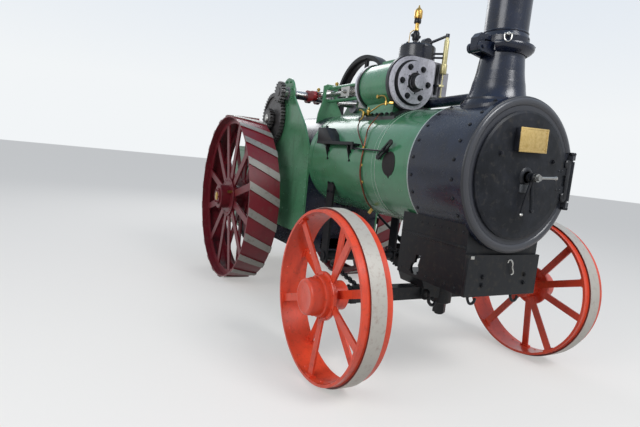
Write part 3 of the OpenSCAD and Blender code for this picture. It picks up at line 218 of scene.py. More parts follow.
def finish(name, colour, rough, cloud, dirt, grain, metal=0.0, coat=0.0, gleam=0.5, streak=None,
           zones=()):
    """A painted or bare surface on Object coordinates.

    cloud, streak, dirt: (colour, size in mm, share) of a slow change of tone, of run marks and of
    specks of dirt; grain: (size in mm, depth in mm) of the bump; zones: (tests, colour, roughness,
    metallic); gleam: how strongly the paint's skin mirrors, less where soot and dust dull it."""
    made = bpy.data.materials.new(name)
    tree = empty_tree(made)
    place = add(tree, "ShaderNodeTexCoord").outputs["Object"]

    def marks(over, size, most, stretch, low, high, dulled=None):
        """A layer of marks: where it lies, its colour, roughness and metallic."""
        where = add(tree, "ShaderNodeMapping", {"Vector": place, "Scale": (1, 1, stretch)}).outputs[0]
        noise = add(tree, "ShaderNodeTexNoise", {
            "Vector": where, "Scale": 1000 / size, "Detail": 6.0, "Roughness": 0.62}).outputs["Fac"]
        share = add(tree, "ShaderNodeMapRange", {
            "Value": noise, "From Min": low, "From Max": high, "To Max": most}).outputs[0]
        return share, over, dulled, metal

    # Dirt lies over the zones, with the lining, bare metal, painted highlights and painted shade among
    # them, and dulls them
    layers = [marks(*cloud, 1.0, 0.40, 0.66)]
    if streak:
        layers.append(marks(*streak, 0.12, 0.52, 0.72))
    layers += [(inside(tree, place, tests), *look) for tests, *look in zones]
    layers.append(marks(*dirt, 1.0, 0.54, 0.74, min(1.0, rough + 0.3)))
    tone, gloss, bare = linear(colour), rough, metal
    for share, over, dulled, shine in layers:
        tone = add(tree, "ShaderNodeMix", {0: share, 6: tone, 7: linear(over)},
                   data_type="RGBA").outputs[2]
        if dulled is not None:
            gloss = add(tree, "ShaderNodeMix", {0: share, 2: gloss, 3: dulled},
                        data_type="FLOAT").outputs[0]
        if shine != metal:
            bare = add(tree, "ShaderNodeMix", {0: share, 2: bare, 3: shine},
                       data_type="FLOAT").outputs[0]
    skin = add(tree, "ShaderNodeTexNoise", {
        "Vector": place, "Scale": 1000 / grain[0], "Detail": 3.0}).outputs["Fac"]
    bump = add(tree, "ShaderNodeBump", {"Height": skin, "Strength": 1.0, "Distance": grain[1] / 1000})
    shader = add(tree, "ShaderNodeBsdfPrincipled", {
        "Base Color": tone, "Roughness": gloss, "Metallic": bare, "Specular IOR Level": gleam,
        "Coat Weight": coat, "Coat Roughness": 0.06, "Normal": bump.outputs[0]})
    add(tree, "ShaderNodeOutputMaterial", {"Surface": shader.outputs[0]})
    return made


AXIS_X, AXIS_Y, AXIS_Z = (0, 1, 1), (1, 0, 1), (1, 1, 0)
BOILER_LINE, CYLINDER_LINE = (0, 0, BOILER_Z), (0, *CYLINDER)
FRONT_HUB = (FRONT_AXLE[0], 0, FRONT_AXLE[1])
REAR_HUB = (REAR_AXLE[0], 0, REAR_AXLE[1])

# Steel cladding, brushed with green machinery enamel and varnished: a soft mirror of the sky, uneven
# where the sheet isn't flat, with pale lining beside the boiler bands; the last pale line, at the
# smokebox's rear edge, is a painted highlight
lagging_green_enamel = finish(
    "lagging_green_enamel", "#437F5B", 0.22, coat=0.2, cloud=("#3A7250", 320, 0.6),
    streak=("#33513B", 90, 0.35), dirt=("#39402F", 34, 0.3), grain=(240, 1.2),
    zones=[([("x", low, high)], "#A9BCAE", 0.3, 0.0)
           for low, high in ((1.2490, 1.2525), (1.2925, 1.2960), (1.6900, 1.7010))])
# The same enamel on thick castings and plates, oilier and with more brush marks
casting_green_enamel = finish(
    "casting_green_enamel", "#4C8560", 0.3, coat=0.1, cloud=("#427552", 140, 0.6),
    streak=("#2C3A2B", 50, 0.4), dirt=("#2B2A22", 26, 0.5), grain=(30, 0.3))
# The cylinder's lagging in glossier green, black on its end flanges and on the saddle's foot
cylinder_green_enamel = finish(
    "cylinder_green_enamel", "#4E8A66", 0.24, coat=0.2, cloud=("#437A58", 160, 0.6),
    streak=("#2C3A2B", 60, 0.35), dirt=("#2B2A22", 26, 0.4), grain=(60, 0.4),
    zones=[([("x", 1.1795, 1.30)], "#1A1C20", 0.34, 0.0), ([("x", 0.70, 0.757)], "#1A1C20", 0.34, 0.0),
           ([("round", BOILER_LINE, AXIS_X, 0.0, 0.4673)], "#1A1B1E", 0.4, 0.0)])
# Heat-proof black on rolled plate: satin, with a brushed grain and soot. Its blue tint is a painted
# reflection of the sky, the pale line at its rear edge is a painted highlight, and the front ring's
# two greys, palest on the ring's face, are painted sheen
smokebox_heat_black = finish(
    "smokebox_heat_black", "#111727", 0.24, gleam=0.48, cloud=("#1B2439", 160, 0.7),
    streak=("#262423", 60, 0.3), dirt=("#3A3733", 30, 0.35), grain=(120, 0.5),
    zones=[([("x", 1.698, 1.7125), ("round", BOILER_LINE, AXIS_X, 0.44, 0.47)], "#9BA8A4", 0.4, 0.0),
           ([("x", 2.2420, 2.2520)], "#25262A", 0.4, 0.0), ([("x", 2.2521, 2.30)], "#3C3D42", 0.28, 0.0)])
# The door's cast and turned plate under the same black, duller and warmer from the heat behind it
door_heat_black = finish(
    "door_heat_black", "#17191D", 0.42, gleam=0.16, cloud=("#282A30", 130, 0.8),
    streak=("#121315", 60, 0.4), dirt=("#4E4A45", 36, 0.4), grain=(40, 0.35),
    zones=[([("x", 2.3535, 2.41)], "#9C9C9A", 0.34, 1.0)])
# Thick black machinery enamel on frames and castings, with dried mud and oil in its grain
chassis_black_enamel = finish(
    "chassis_black_enamel", "#15171B", 0.38, gleam=0.25, cloud=("#1A1C1F", 150, 0.8),
    streak=("#2A2722", 60, 0.4), dirt=("#4A4338", 40, 0.4), grain=(24, 0.3))
# Gloss black on small fittings
fitting_black_enamel = finish(
    "fitting_black_enamel", "#121317", 0.34, gleam=0.3, cloud=("#22252D", 60, 0.6),
    dirt=("#3C3833", 16, 0.4), grain=(12, 0.15))
# The valve casing's black, with the spring balance's brass on the same node
casing_black_enamel = finish(
    "casing_black_enamel", "#171922", 0.26, cloud=("#292C38", 90, 0.7), dirt=("#3C3833", 20, 0.3),
    grain=(30, 0.25),
    zones=[([("round", (*BALANCE, 0), AXIS_Z, 0.0, 0.0245), ("z", 2.02, 2.513)], "#C4BC92", 0.34, 0.8)])
# Wheel enamel, orange-red, brushed on; the tyre band is worn to grey steel by the road, and the dark
# ring just inside it is painted shade for the shadow at the step under the band
wheel_orange_enamel = finish(
    "wheel_orange_enamel", "#DF4B2E", 0.3, coat=0.1, gleam=0.4, cloud=("#CB3F28", 150, 0.6),
    streak=("#8A2C20", 40, 0.25), dirt=("#7A3A2A", 30, 0.4), grain=(40, 0.3),
    zones=[([("round", FRONT_HUB, AXIS_Y, 0.5585, 0.5735)], "#5A2420", 0.5, 0.0),
           ([("round", FRONT_HUB, AXIS_Y, 0.5695, 0.5735)], "#B7B2A9", 0.5, 0.2)])
# Older maroon enamel on the driving wheels, dusty, with bright worn strakes
wheel_maroon_enamel = finish(
    "wheel_maroon_enamel", "#6E1722", 0.38, gleam=0.4, cloud=("#641520", 180, 0.7),
    streak=("#3C1216", 60, 0.4), dirt=("#5A4238", 40, 0.5), grain=(40, 0.4),
    zones=[([("round", REAR_HUB, AXIS_Y, 0.9085, 0.93)], "#8C8983", 0.5, 0.5)])
# Sand-cast iron painted thin grey, its skin pebbled and oily in the hollows
grey_cast_iron = finish(
    "grey_cast_iron", "#96959C", 0.44, metal=0.2, cloud=("#807E88", 60, 0.8),
    streak=("#3A3733", 40, 0.4), dirt=("#2C2A28", 20, 0.55), grain=(9, 0.5))
# The cylinder's front cover in paler grey paint, with black studs; the black on the boss's side and
# round its foot, and on the raised disc's wall and a wide band round it, is painted shade for the
# shadows that the boss and the step cast
cover_cast_iron = finish(
    "cover_cast_iron", "#D6D4DC", 0.46, cloud=("#B8B6BF", 50, 0.8), streak=("#7A7774", 40, 0.3),
    dirt=("#34322F", 20, 0.5), grain=(9, 0.4),
    zones=[([("round", CYLINDER_LINE, AXIS_X, inner, outer), ("x", low, high)], black, 0.5, 0.0)
           for inner, outer, low, high, black in (
               (0.0505, 0.0755, 1.26, 1.2775, "#1C1C20"), (0.0515, 0.056, 1.2776, 1.3325, "#17171B"),
               (0.1500, 0.1745, 1.2345, 1.2665, "#17171B"), (0.1050, 0.1450, 1.2712, 1.2960, "#17171B"))])
# Filed iron plate gone dark and dull beside the hot door
dull_iron = finish(
    "dull_filed_iron", "#55575A", 0.5, metal=0.3, cloud=("#45474B", 40, 0.7), dirt=("#2C2A28", 16, 0.4),
    grain=(9, 0.2))
# Cut gear teeth in cast iron, black with grease between bright flanks
gear_cast_iron = finish(
    "gear_cast_iron", "#5C5A5A", 0.42, metal=0.5, cloud=("#45423F", 70, 0.8),
    dirt=("#1F1C19", 24, 0.7), grain=(14, 0.4))
# Turned and filed mild steel, bright with oil
BRIGHT_STEEL = dict(colour="#B9B8B4", rough=0.26, metal=1.0, cloud=("#A09E9A", 60, 0.5),
                    dirt=("#4A4038", 30, 0.35), grain=(8, 0.06))
turned_steel = finish("turned_steel", **BRIGHT_STEEL)
# The crankshaft's, with red paint on the two eccentrics and its pinion left as cast
crank_steel = finish(
    "crank_steel", **BRIGHT_STEEL,
    zones=[([("y", -0.216, -0.174)], "#8E1F24", 0.36, 0.0), ([("y", -0.106, -0.064)], "#8E1F24", 0.36, 0.0),
           ([("y", -0.560, -0.49)], "#5C5A5A", 0.42, 0.5)])
# Cast and turned brass, hand-polished, browner where the cloth doesn't reach
polished_brass = finish(
    "polished_brass", "#B99A55", 0.28, metal=1.0, cloud=("#C29A44", 40, 0.6),
    dirt=("#6A5028", 16, 0.35), grain=(10, 0.06))
# The whistle's brass, paler, with its valve and foot in black
whistle_brass = finish(
    "whistle_brass", "#C9A662", 0.3, metal=1.0, cloud=("#B98C3C", 30, 0.6), dirt=("#6A5028", 16, 0.35),
    grain=(10, 0.06), zones=[([("z", 2.43, 2.500)], "#1D1F28", 0.3, 0.0)])
# Drawn brass tube gone pale and milky in the weather
balance_brass = finish(
    "balance_drawn_brass", "#B9B084", 0.38, metal=0.5, cloud=("#A89D6C", 60, 0.7),
    dirt=("#7A6E48", 20, 0.4), grain=(10, 0.06))
# Etched brass sheet, its face brushed in small strokes and left blank
plate_brass = finish(
    "plate_brass", "#CDB277", 0.46, metal=0.7, cloud=("#B39450", 24, 0.7), dirt=("#806A3C", 9, 0.4),
    grain=(3, 0.12))
# Drawn copper pipe, tarnished to brown between polished stretches
drawn_copper = finish(
    "drawn_copper", "#80503C", 0.36, metal=1.0, cloud=("#55382C", 50, 0.7), dirt=("#3A2A22", 16, 0.4),
    grain=(8, 0.05))
# Brown stoving enamel on the plaque's sheet iron, gone flat and dusty in the sun
plaque_brown = finish(
    "plaque_brown_enamel", "#1C1819", 0.45, gleam=0.2, cloud=("#272122", 40, 0.7),
    dirt=("#4A4240", 12, 0.3), grain=(10, 0.2))
# White glass enamel fired on the gauge's dial, yellowed a little by steam and oil
dial_enamel = finish(
    "dial_white_enamel", "#EDEBE2", 0.3, cloud=("#DEDACB", 40, 0.5), dirt=("#B5AE98", 12, 0.2),
    grain=(14, 0.03))


def chequer_plate():
    """Rolled chequer plate, black and trodden bright on its raised bars, which are 30 mm apart."""
    made = bpy.data.materials.new("rolled_chequer_plate")
    tree = empty_tree(made)
    place = add(tree, "ShaderNodeTexCoord").outputs["Object"]
    askew = [add(tree, "ShaderNodeMapping", {
        "Vector": place, "Rotation": (0, 0, math.radians(turn))}).outputs[0] for turn in (45, -45)]
    bars = []
    for lie in askew:
        wave = add(tree, "ShaderNodeTexWave", {
            "Vector": lie, "Scale": 20.0, "Distortion": 0.0}).outputs["Fac"]
        bars.append(add(tree, "ShaderNodeMapRange", {
            "Value": wave, "From Min": 0.80, "From Max": 0.92}).outputs[0])
    squares = add(tree, "ShaderNodeTexChecker", {"Vector": askew[0], "Scale": 33.0}).outputs["Fac"]
    raised = add(tree, "ShaderNodeMix", {0: squares, 2: bars[0], 3: bars[1]},
                 data_type="FLOAT").outputs[0]
    tone = add(tree, "ShaderNodeMix", {0: raised, 6: linear("#1C1C1D"), 7: linear("#8A8884")},
               data_type="RGBA").outputs[2]
    bump = add(tree, "ShaderNodeBump", {"Height": raised, "Strength": 1.0, "Distance": 0.002})
    shader = add(tree, "ShaderNodeBsdfPrincipled", {
        "Base Color": tone, "Roughness": 0.42, "Metallic": 0.6, "Normal": bump.outputs[0]})
    add(tree, "ShaderNodeOutputMaterial", {"Surface": shader.outputs[0]})
    return made


SLOT_LOOKS = {
    "green_paint": casting_green_enamel, "smokebox_black": smokebox_heat_black,
    "black_paint": chassis_black_enamel, "red_paint": wheel_orange_enamel,
    "maroon_paint": wheel_maroon_enamel, "grey_iron": grey_cast_iron, "bright_steel": turned_steel,
    "brass": polished_brass,
}
NODE_LOOKS = {
    "boiler_barrel": lagging_green_enamel, "cylinder_block": cylinder_green_enamel,
    "smokebox_door": door_heat_black, "safety_valve": casing_black_enamel,
    "cylinder_covers": cover_cast_iron, "crankshaft": crank_steel, "whistle": whistle_brass,
    "axle_gear": gear_cast_iron, "second_shaft": gear_cast_iron, "third_shaft": gear_cast_iron,
    "footplate": chequer_plate(),
}
for row in frame["record"]["subparts"]:
    mesh = nodes[row["node"]].data
    mesh.materials.clear()
    mesh.materials.append(NODE_LOOKS.get(row["node"], SLOT_LOOKS[row["material_slot"]]))


# Small solids that the pieces are put together from
def put(bm, shape, place, out=UP, size=1.0):
    """Adds a copy of a small mesh at PLACE, with its +Z turned to OUT."""
    bm.from_mesh(shape)
    bm.verts.ensure_lookup_table()
    facing = Vector(UP).rotation_difference(Vector(out)).to_matrix().to_4x4()
    move = Matrix.Translation(place) @ facing @ Matrix.Diagonal((size, size, size, 1))
    bmesh.ops.transform(bm, matrix=move, verts=bm.verts[-len(shape.vertices):])


def round_over(bm, edges, width):
    bmesh.ops.bevel(bm, geom=edges, offset=width, offset_type="OFFSET", affect="EDGES", segments=2,
                    profile=0.5, material=-1)


def drum(bm, place, out, radius, length, top=None, sides=24, rounding=0.0):
    """A round solid from PLACE along OUT, with its far rim rounded over."""
    part = bmesh.new()
    bmesh.ops.create_cone(part, cap_ends=True, segments=sides, radius1=radius,
                          radius2=radius if top is None else top, depth=length)
    bmesh.ops.translate(part, vec=(0, 0, length / 2), verts=part.verts)
    if rounding:
        round_over(part, [e for e in part.edges if all(v.co.z > length * 0.9 for v in e.verts)], rounding)
    put(bm, mesh_of(part), place, out)


def turned(bm, profile, place, out, steps=32):
    """A lathe-turned solid: PROFILE is (radius, height) from its foot to its top."""
    part = bmesh.new()
    line = [part.verts.new((r, 0, h)) for r, h in profile]
    edges = [part.edges.new(pair) for pair in zip(line, line[1:])]
    bmesh.ops.spin(part, geom=line + edges, axis=UP, cent=(0, 0, 0), angle=2 * math.pi, steps=steps,
                   use_merge=True)
    bmesh.ops.remove_doubles(part, verts=part.verts, dist=1e-6)
    bmesh.ops.recalc_face_normals(part, faces=part.faces)
    put(bm, mesh_of(part), place, out)


def collar(bm, place, out, inner, outer, height, steps=32):
    """A plain turned collar with square edges."""
    turned(bm, [(inner, 0), (outer, 0), (outer, height), (inner, height), (inner, 0)], place, out, steps)


def part_ring(bm, profile, place, out, start, sweep, steps):
    """A turned ring that is cut away but for SWEEP degrees from START, closed at both ends."""
    part = bmesh.new()
    line = [part.verts.new((r, 0, h)) for r, h in profile]
    edges = [part.edges.new(pair) for pair in zip(line, line[1:] + line[:1])]
    bmesh.ops.rotate(part, cent=(0, 0, 0), matrix=Matrix.Rotation(math.radians(start), 3, "Z"), verts=line)
    bmesh.ops.spin(part, geom=line + edges, axis=UP, cent=(0, 0, 0), angle=math.radians(sweep),
                   steps=steps)
    bmesh.ops.holes_fill(part, edges=part.edges, sides=0)
    bmesh.ops.recalc_face_normals(part, faces=part.faces)
    put(bm, mesh_of(part), place, out)


def slab(bm, middle, size, rounding=0.002, slope=0.0):
    """A block with rounded edges; SLOPE sets the top of its front face back."""
    part = bmesh.new()
    bmesh.ops.create_cube(part, size=1)
    bmesh.ops.scale(part, vec=size, verts=part.verts)
    for v in part.verts:
        if v.co.x > 0 and v.co.z > 0:
            v.co.x -= slope
    round_over(part, list(part.edges), min(rounding, min(size) * 0.3))
    put(bm, mesh_of(part), middle)


def pipe(bm, points, radius):
    """A round pipe or bent rod through POINTS, straight where there are only two."""
    path = bpy.data.curves.new("path", "CURVE")
    path.dimensions = "3D"
    path.bevel_depth = radius
    path.bevel_resolution = 2
    path.resolution_u = 5
    path.use_fill_caps = True
    if len(points) == 2:
        line = path.splines.new("POLY")
        line.points.add(1)
        for point, place in zip(line.points, points):
            point.co = (*place, 1)
    else:
        line = path.splines.new("BEZIER")
        line.bezier_points.add(len(points) - 1)
        for point, place in zip(line.bezier_points, points):
            point.co = place
            point.handle_left_type = point.handle_right_type = "AUTO"
    obj = bpy.data.objects.new("path", path)
    bm.from_mesh(bpy.data.meshes.new_from_object(obj))
    bpy.data.objects.remove(obj)


def piece(name, body, look, bm, bend=38):
    """A finished piece that rides on BODY, with a sharp edge where it bends by more than BEND degrees."""
    bmesh.ops.recalc_face_normals(bm, faces=bm.faces)
    mesh = mesh_of(bm, name)
    mesh.shade_smooth()
    mesh.set_sharp_from_angle(angle=math.radians(bend))
    mesh.materials.append(look)
    obj = add_object(name, mesh)
    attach(obj, body)


def rivet_shape():
    """A domed head; 1 is its radius."""
    part = bmesh.new()
    bmesh.ops.create_uvsphere(part, u_segments=10, v_segments=6, radius=1)
    bmesh.ops.bisect_plane(part, geom=part.verts[:] + part.edges[:] + part.faces[:], plane_co=(0, 0, 0),
                           plane_no=(0, 0, -1), clear_outer=True)
    bmesh.ops.scale(part, vec=(1, 1, 0.62), verts=part.verts)
    return mesh_of(part, "rivet")


def bolt_shape():
    """A hexagon nut on a washer, with the bolt's end standing out; 1 is the nut's radius."""
    bm = bmesh.new()
    drum(bm, (0, 0, -0.05), UP, 1.3, 0.22, sides=12)
    drum(bm, (0, 0, 0.15), UP, 1.0, 0.75, sides=6)
    drum(bm, (0, 0, 0.88), UP, 0.52, 0.35, top=0.42, sides=8)
    return mesh_of(bm, "bolt")


RIVET = rivet_shape()
BOLT = bolt_shape()


# Where things go
def polar(radius, angle):
    return radius * math.cos(math.radians(angle)), radius * math.sin(math.radians(angle))


def evenly(count, first=0.0):
    """COUNT angles evenly round a circle, in degrees."""
    return [first + i * 360 / count for i in range(count)]


def spaced(start, count, gap):
    return [start + i * gap for i in range(count)]


def bolt_circle(bm, shape, middle, out, radius, angles, size):
    """A copy of SHAPE at each of ANGLES on a circle about MIDDLE, all facing OUT, along an axis."""
    for angle in angles:
        a, b = polar(radius, angle)
        step = (a, b, 0) if out[2] else (a, 0, b) if out[1] else (0, a, b)
        put(bm, shape, Vector(middle) + Vector(step), out, size)


def rows(bm, shape, out, size, *places):
    """A copy of SHAPE wherever the x, y and z given cross, each of them a number or several."""
    for place in itertools.product(*[p if isinstance(p, (list, tuple)) else (p,) for p in places]):
        put(bm, shape, place, out, size)


def on_boiler(x, angle, radius):
    """A place on a cylinder about the boiler's axis, ANGLE degrees from the top towards the left,
    and the way out."""
    turn = math.radians(angle)
    out = (0, math.sin(turn), math.cos(turn))
    return (x, radius * out[1], BOILER_Z + radius * out[2]), out


def on_right_side(x, z, radius):
    """The same on the boiler's right side, with the height Z measured round the barrel's curve."""
    return on_boiler(x, math.degrees((z - BOILER_Z) / BARREL_R) - 90, radius)


def on_wheel(axle, y, angle, radius, along=0.0):
    """A place in a wheel, ANGLE degrees from straight ahead towards the ground and ALONG to one side
    of that line, and the way out from the axle."""
    turn = math.radians(angle)
    out = Vector((math.cos(turn), 0, -math.sin(turn)))
    across = Vector((math.sin(turn), 0, math.cos(turn)))
    return Vector((axle[0], y, axle[1])) + out * radius + across * along, out


# Smokebox and chimney
def smokebox_rivets():
    """Two rings of round-headed bolts, 15 degrees apart, that miss the chimney's foot and the perch
    bracket, and small rivets close behind the front ring."""
    bm = bmesh.new()
    for x in (1.748, 2.132):
        for i in (*range(-9, -1), *range(1, 9)):
            angle = 7.5 + i * 15
            drum(bm, *on_boiler(x, angle, SMOKEBOX_R), 0.0125, 0.003, sides=16)
            put(bm, RIVET, *on_boiler(x, angle, SMOKEBOX_R + 0.003), 0.0105)
    for i in range(-26, 27):
        put(bm, RIVET, *on_boiler(2.1905, i * 5, SMOKEBOX_R), 0.006)
    piece("smokebox_rivets", "engine", fitting_black_enamel, bm)


def chimney_foot():
    bm = bmesh.new()
    for angle in (-48, -24, 0, 24, 48, 132, 156, 180, 204, 228):
        dx, dy = polar(0.2145, angle)
        height = math.sqrt((SMOKEBOX_R + 0.018) ** 2 - dy * dy)
        put(bm, BOLT, (CHIMNEY_X + dx, dy, BOILER_Z + height), (0, dy, height), 0.010)
    piece("chimney_foot_bolts", "engine", fitting_black_enamel, bm)
    # The casting's skirt sweeps down to the flange
    bm = bmesh.new()
    turned(bm, [(0.150, 2.060), (0.164, 2.058), (0.168, 2.040), (0.1725, 2.008), (0.181, 1.974),
                (0.1925, 1.946), (0.205, 1.924), (0.217, 1.904), (0.2235, 1.886), (0.2235, 1.870),
                (0.200, 1.870), (0.150, 2.060)], (CHIMNEY_X, 0, 0), UP, steps=64)
    # Joint flange below the fold, open where the hinge's ears pass
    for start in (-64, 104):
        part_ring(bm, [(0.150, 2.226), (0.172, 2.240), (0.188, 2.258), (0.191, 2.266), (0.191, 2.282),
                       (0.188, 2.2865), (0.150, 2.2865)], (CHIMNEY_X, 0, 0), UP, start, 140, 28)
    piece("chimney_skirt", "engine", smokebox_heat_black, bm)


def chimney_trim():
    """Beads on the chimney, with a shackle and a bolt on the front of its collar."""
    bm = bmesh.new()
    for z, r in ((JOINT_Z + 0.075, 0.1385), (3.170, 0.1395), (3.262, 0.175), (3.332, 0.175)):
        turned(bm, [(r - 0.006, -0.006), (r + 0.003, -0.006), (r + 0.006, 0), (r + 0.003, 0.006),
                    (r - 0.006, 0.006), (r - 0.006, -0.006)], (CHIMNEY_X, 0, z), UP, steps=64)
    bolt_circle(bm, BOLT, (CHIMNEY_X, 0, JOINT_Z + 0.034), UP, 0.1465, evenly(8, 22.5), 0.009)
    piece("chimney_beads", "chimney", smokebox_heat_black, bm)
    bm = bmesh.new()
    dx, dy = polar(0.154, -42)
    out = Vector((dx, dy, 0)).normalized()
    side = Vector((-out.y, out.x, 0))
    top = Vector((CHIMNEY_X + dx, dy, JOINT_Z + 0.030))
    drum(bm, top - out * 0.01, out, 0.011, 0.062, sides=12, rounding=0.002)
    eye = top + out * 0.045
    bow = ((0.020, 0.004), (0.021, -0.022), (0.012, -0.042), (-0.012, -0.042), (-0.021, -0.022),
           (-0.020, 0.004))
    pipe(bm, [eye + side * across + Vector((0, 0, height)) for across, height in bow], 0.0045)
    pipe(bm, [eye - side * 0.026, eye + side * 0.026], 0.0065)
    piece("collar_shackle", "chimney", turned_steel, bm)


def door_face(y, z):
    """How far forward the door's dished face lies at (y, z)."""
    reach = math.hypot(y, z - BOILER_Z) * 2.359
    return DOOR_X + 0.012 + 0.026 * math.sqrt(max(0.0, 1 - reach * reach))


def smokebox_door_fittings():
    """The blank plate, the hinge casting, the central fastening and the catch plate."""
    # The plate and its block sit a little askew on the door
    plate_y, plate_z = -0.020, 1.682
    middle, askew = (DOOR_X + 0.045, plate_y, plate_z), Matrix.Rotation(math.radians(2.5), 3, "X")
    bm = bmesh.new()
    slab(bm, middle, (0.050, 0.238, 0.140), 0.006)
    bmesh.ops.rotate(bm, cent=middle, matrix=askew, verts=bm.verts)
    for y, z in ((-0.239, 1.585), (0.236, 1.573)):
        put(bm, BOLT, (door_face(y, z) - 0.001, y, z), AHEAD, 0.014)
    # Hinge casting down the door's left edge, with a lug at each end
    slab(bm, (DOOR_X + 0.0235, 0.402, BOILER_Z), (0.023, 0.036, 0.236), 0.005)
    for z in (1.352, 1.568):
        turned(bm, [(0, 0), (0.030, 0), (0.032, 0.004), (0.032, 0.014), (0.026, 0.019), (0, 0.019)],
               (DOOR_X + 0.014, 0.396, z), AHEAD, steps=20)
    rows(bm, RIVET, AHEAD, 0.0095, DOOR_X + 0.0275, (0.310, 0.345), (1.400, 1.520))
    # Collars of the central fastening, its lock plate and the flat bar that hangs beside the lever
    turned(bm, [(0, 0), (0.060, 0), (0.060, 0.006), (0.052, 0.012), (0.036, 0.016), (0, 0.016)],
           (DOOR_X + 0.032, 0, BOILER_Z), AHEAD)
    put(bm, BOLT, (DOOR_X + 0.108, 0, BOILER_Z), AHEAD, 0.019)
    pipe(bm, [(DOOR_X + 0.082, -0.004, 1.440), (DOOR_X + 0.074, -0.022, 1.340),
              (DOOR_X + 0.068, -0.038, 1.236)], 0.0085)
    for x in (DOOR_X + 0.064, DOOR_X + 0.100):
        turned(bm, [(0, -0.002), (0.030, -0.002), (0.030, 0.004), (0, 0.004)], (x, 0, BOILER_Z), AHEAD)
    turned(bm, [(0, -0.014), (0.0105, -0.010), (0.014, 0), (0.0105, 0.010), (0, 0.014)],
           (DOOR_X + 0.086, 0.031, 1.256), AHEAD, steps=14)
    piece("door_fittings", "smokebox_door", fitting_black_enamel, bm)

    # The plate is blank, with a raised rim and a rivet in each corner
    bm = bmesh.new()
    slab(bm, (DOOR_X + 0.072, plate_y, plate_z), (0.006, 0.245, 0.146), 0.002)
    for z in (1.6175, 1.7465):
        slab(bm, (DOOR_X + 0.0752, plate_y, z), (0.0026, 0.229, 0.0045), 0.001)
    for y in (-0.1325, 0.0925):
        slab(bm, (DOOR_X + 0.0752, y, plate_z), (0.0026, 0.0045, 0.129), 0.001)
    rows(bm, RIVET, AHEAD, 0.005, DOOR_X + 0.0745, (-0.121, 0.081), (1.629, 1.735))
    bmesh.ops.rotate(bm, cent=middle, matrix=askew, verts=bm.verts)
    piece("door_blank_plate", "smokebox_door", plate_brass, bm)

    bm = bmesh.new()
    for place, size in (((0.072, -0.0385, 1.230), 0.011), ((0.118, 0.168, 1.470), 0.0125)):
        turned(bm, [(0, -size), (size * 0.7, -size * 0.7), (size, 0), (size * 0.7, size * 0.7), (0, size)],
               Vector(place) + Vector((DOOR_X, 0, 0)), AHEAD, steps=14)
    piece("door_lever_ends", "smokebox_door", turned_steel, bm)

    bm = bmesh.new()
    slab(bm, (DOOR_X + 0.040, -0.010, 1.388), (0.018, 0.076, 0.050), 0.004)
    piece("door_catch_plate", "smokebox_door", dull_iron, bm)

    bm = bmesh.new()
    for z in (1.6395, 1.2805):
        turned(bm, [(0, -0.010), (0.017, -0.010), (0.021, -0.004), (0.021, 0.004), (0.017, 0.010),
                    (0, 0.010)], (DOOR_X + 0.020, 0.437, z), UP)
    piece("door_hinge_nuts", "engine", fitting_black_enamel, bm)


def front_ring_face():
    """The front ring's rounded face, cut flat on the left side where the door's hinge stands."""
    bm = bmesh.new()
    part_ring(bm, [(0.4335, -0.002), (0.4335, 0.0005), (0.437, 0.0042), (0.4425, 0.0072),
                   (0.4495, 0.0091), (0.4565, 0.0097), (0.4635, 0.009), (0.470, 0.0069),
                   (0.4755, 0.0035), (0.4795, -0.002)], (DOOR_X - 0.002, 0, BOILER_Z), AHEAD, 115, 310, 124)
    piece("front_ring_face", "engine", smokebox_heat_black, bm)


smokebox_rivets()
front_ring_face()
chimney_foot()
chimney_trim()
smokebox_door_fittings()


# Perch bracket, axle and front wheels
def perch_fittings():
    bm = bmesh.new()
    for y, z in ((-0.180, 0.817), (-0.180, 0.763), (0.200, 0.825), (0.200, 0.770)):
        put(bm, BOLT, (2.229, y, z), AHEAD, 0.014)
    for side in (-1, 1):
        rows(bm, RIVET, (0, side, 0), 0.009, spaced(1.60, 7, 0.09), side * 0.3195, 0.728)
        rows(bm, RIVET, (0, side, 0), 0.009, spaced(1.76, 7, 0.066), side * 0.3195, 1.085)
        slab(bm, (1.877, side * 0.318, 0.990), (0.640, 0.014, 0.022), 0.004)
        slab(bm, (2.216, side * 0.316, 0.825), (0.026, 0.014, 0.262), 0.004)
    # Hooks and their eyes under the front plate
    for y in (-0.235, 0.150):
        pipe(bm, [(2.205, y - 0.030, 0.700), (2.207, y - 0.022, 0.662), (2.209, y, 0.640),
                  (2.211, y + 0.026, 0.652), (2.211, y + 0.034, 0.676)], 0.009)
        drum(bm, (2.205, y - 0.030, 0.686), UP, 0.017, 0.010, sides=12)
    # Links that hang behind the bracket
    for y in (-0.285, -0.255):
        pipe(bm, [(1.566, y, 0.705), (1.548, y, 0.760), (1.545, y, 0.850), (1.556, y, 0.905)], 0.007)
    piece("perch_fittings", "engine", chassis_black_enamel, bm)
    bm = bmesh.new()
    pipe(bm, [(2.2285, 0.028, 0.905), (2.238, 0.030, 0.926), (2.246, 0.044, 0.918),
              (2.247, 0.056, 0.872), (2.246, 0.068, 0.838), (2.238, 0.060, 0.828)], 0.0048)
    slab(bm, (2.2315, -0.292, 0.940), (0.006, 0.030, 0.020), 0.002)
    piece("perch_hook_rod", "engine", turned_steel, bm)


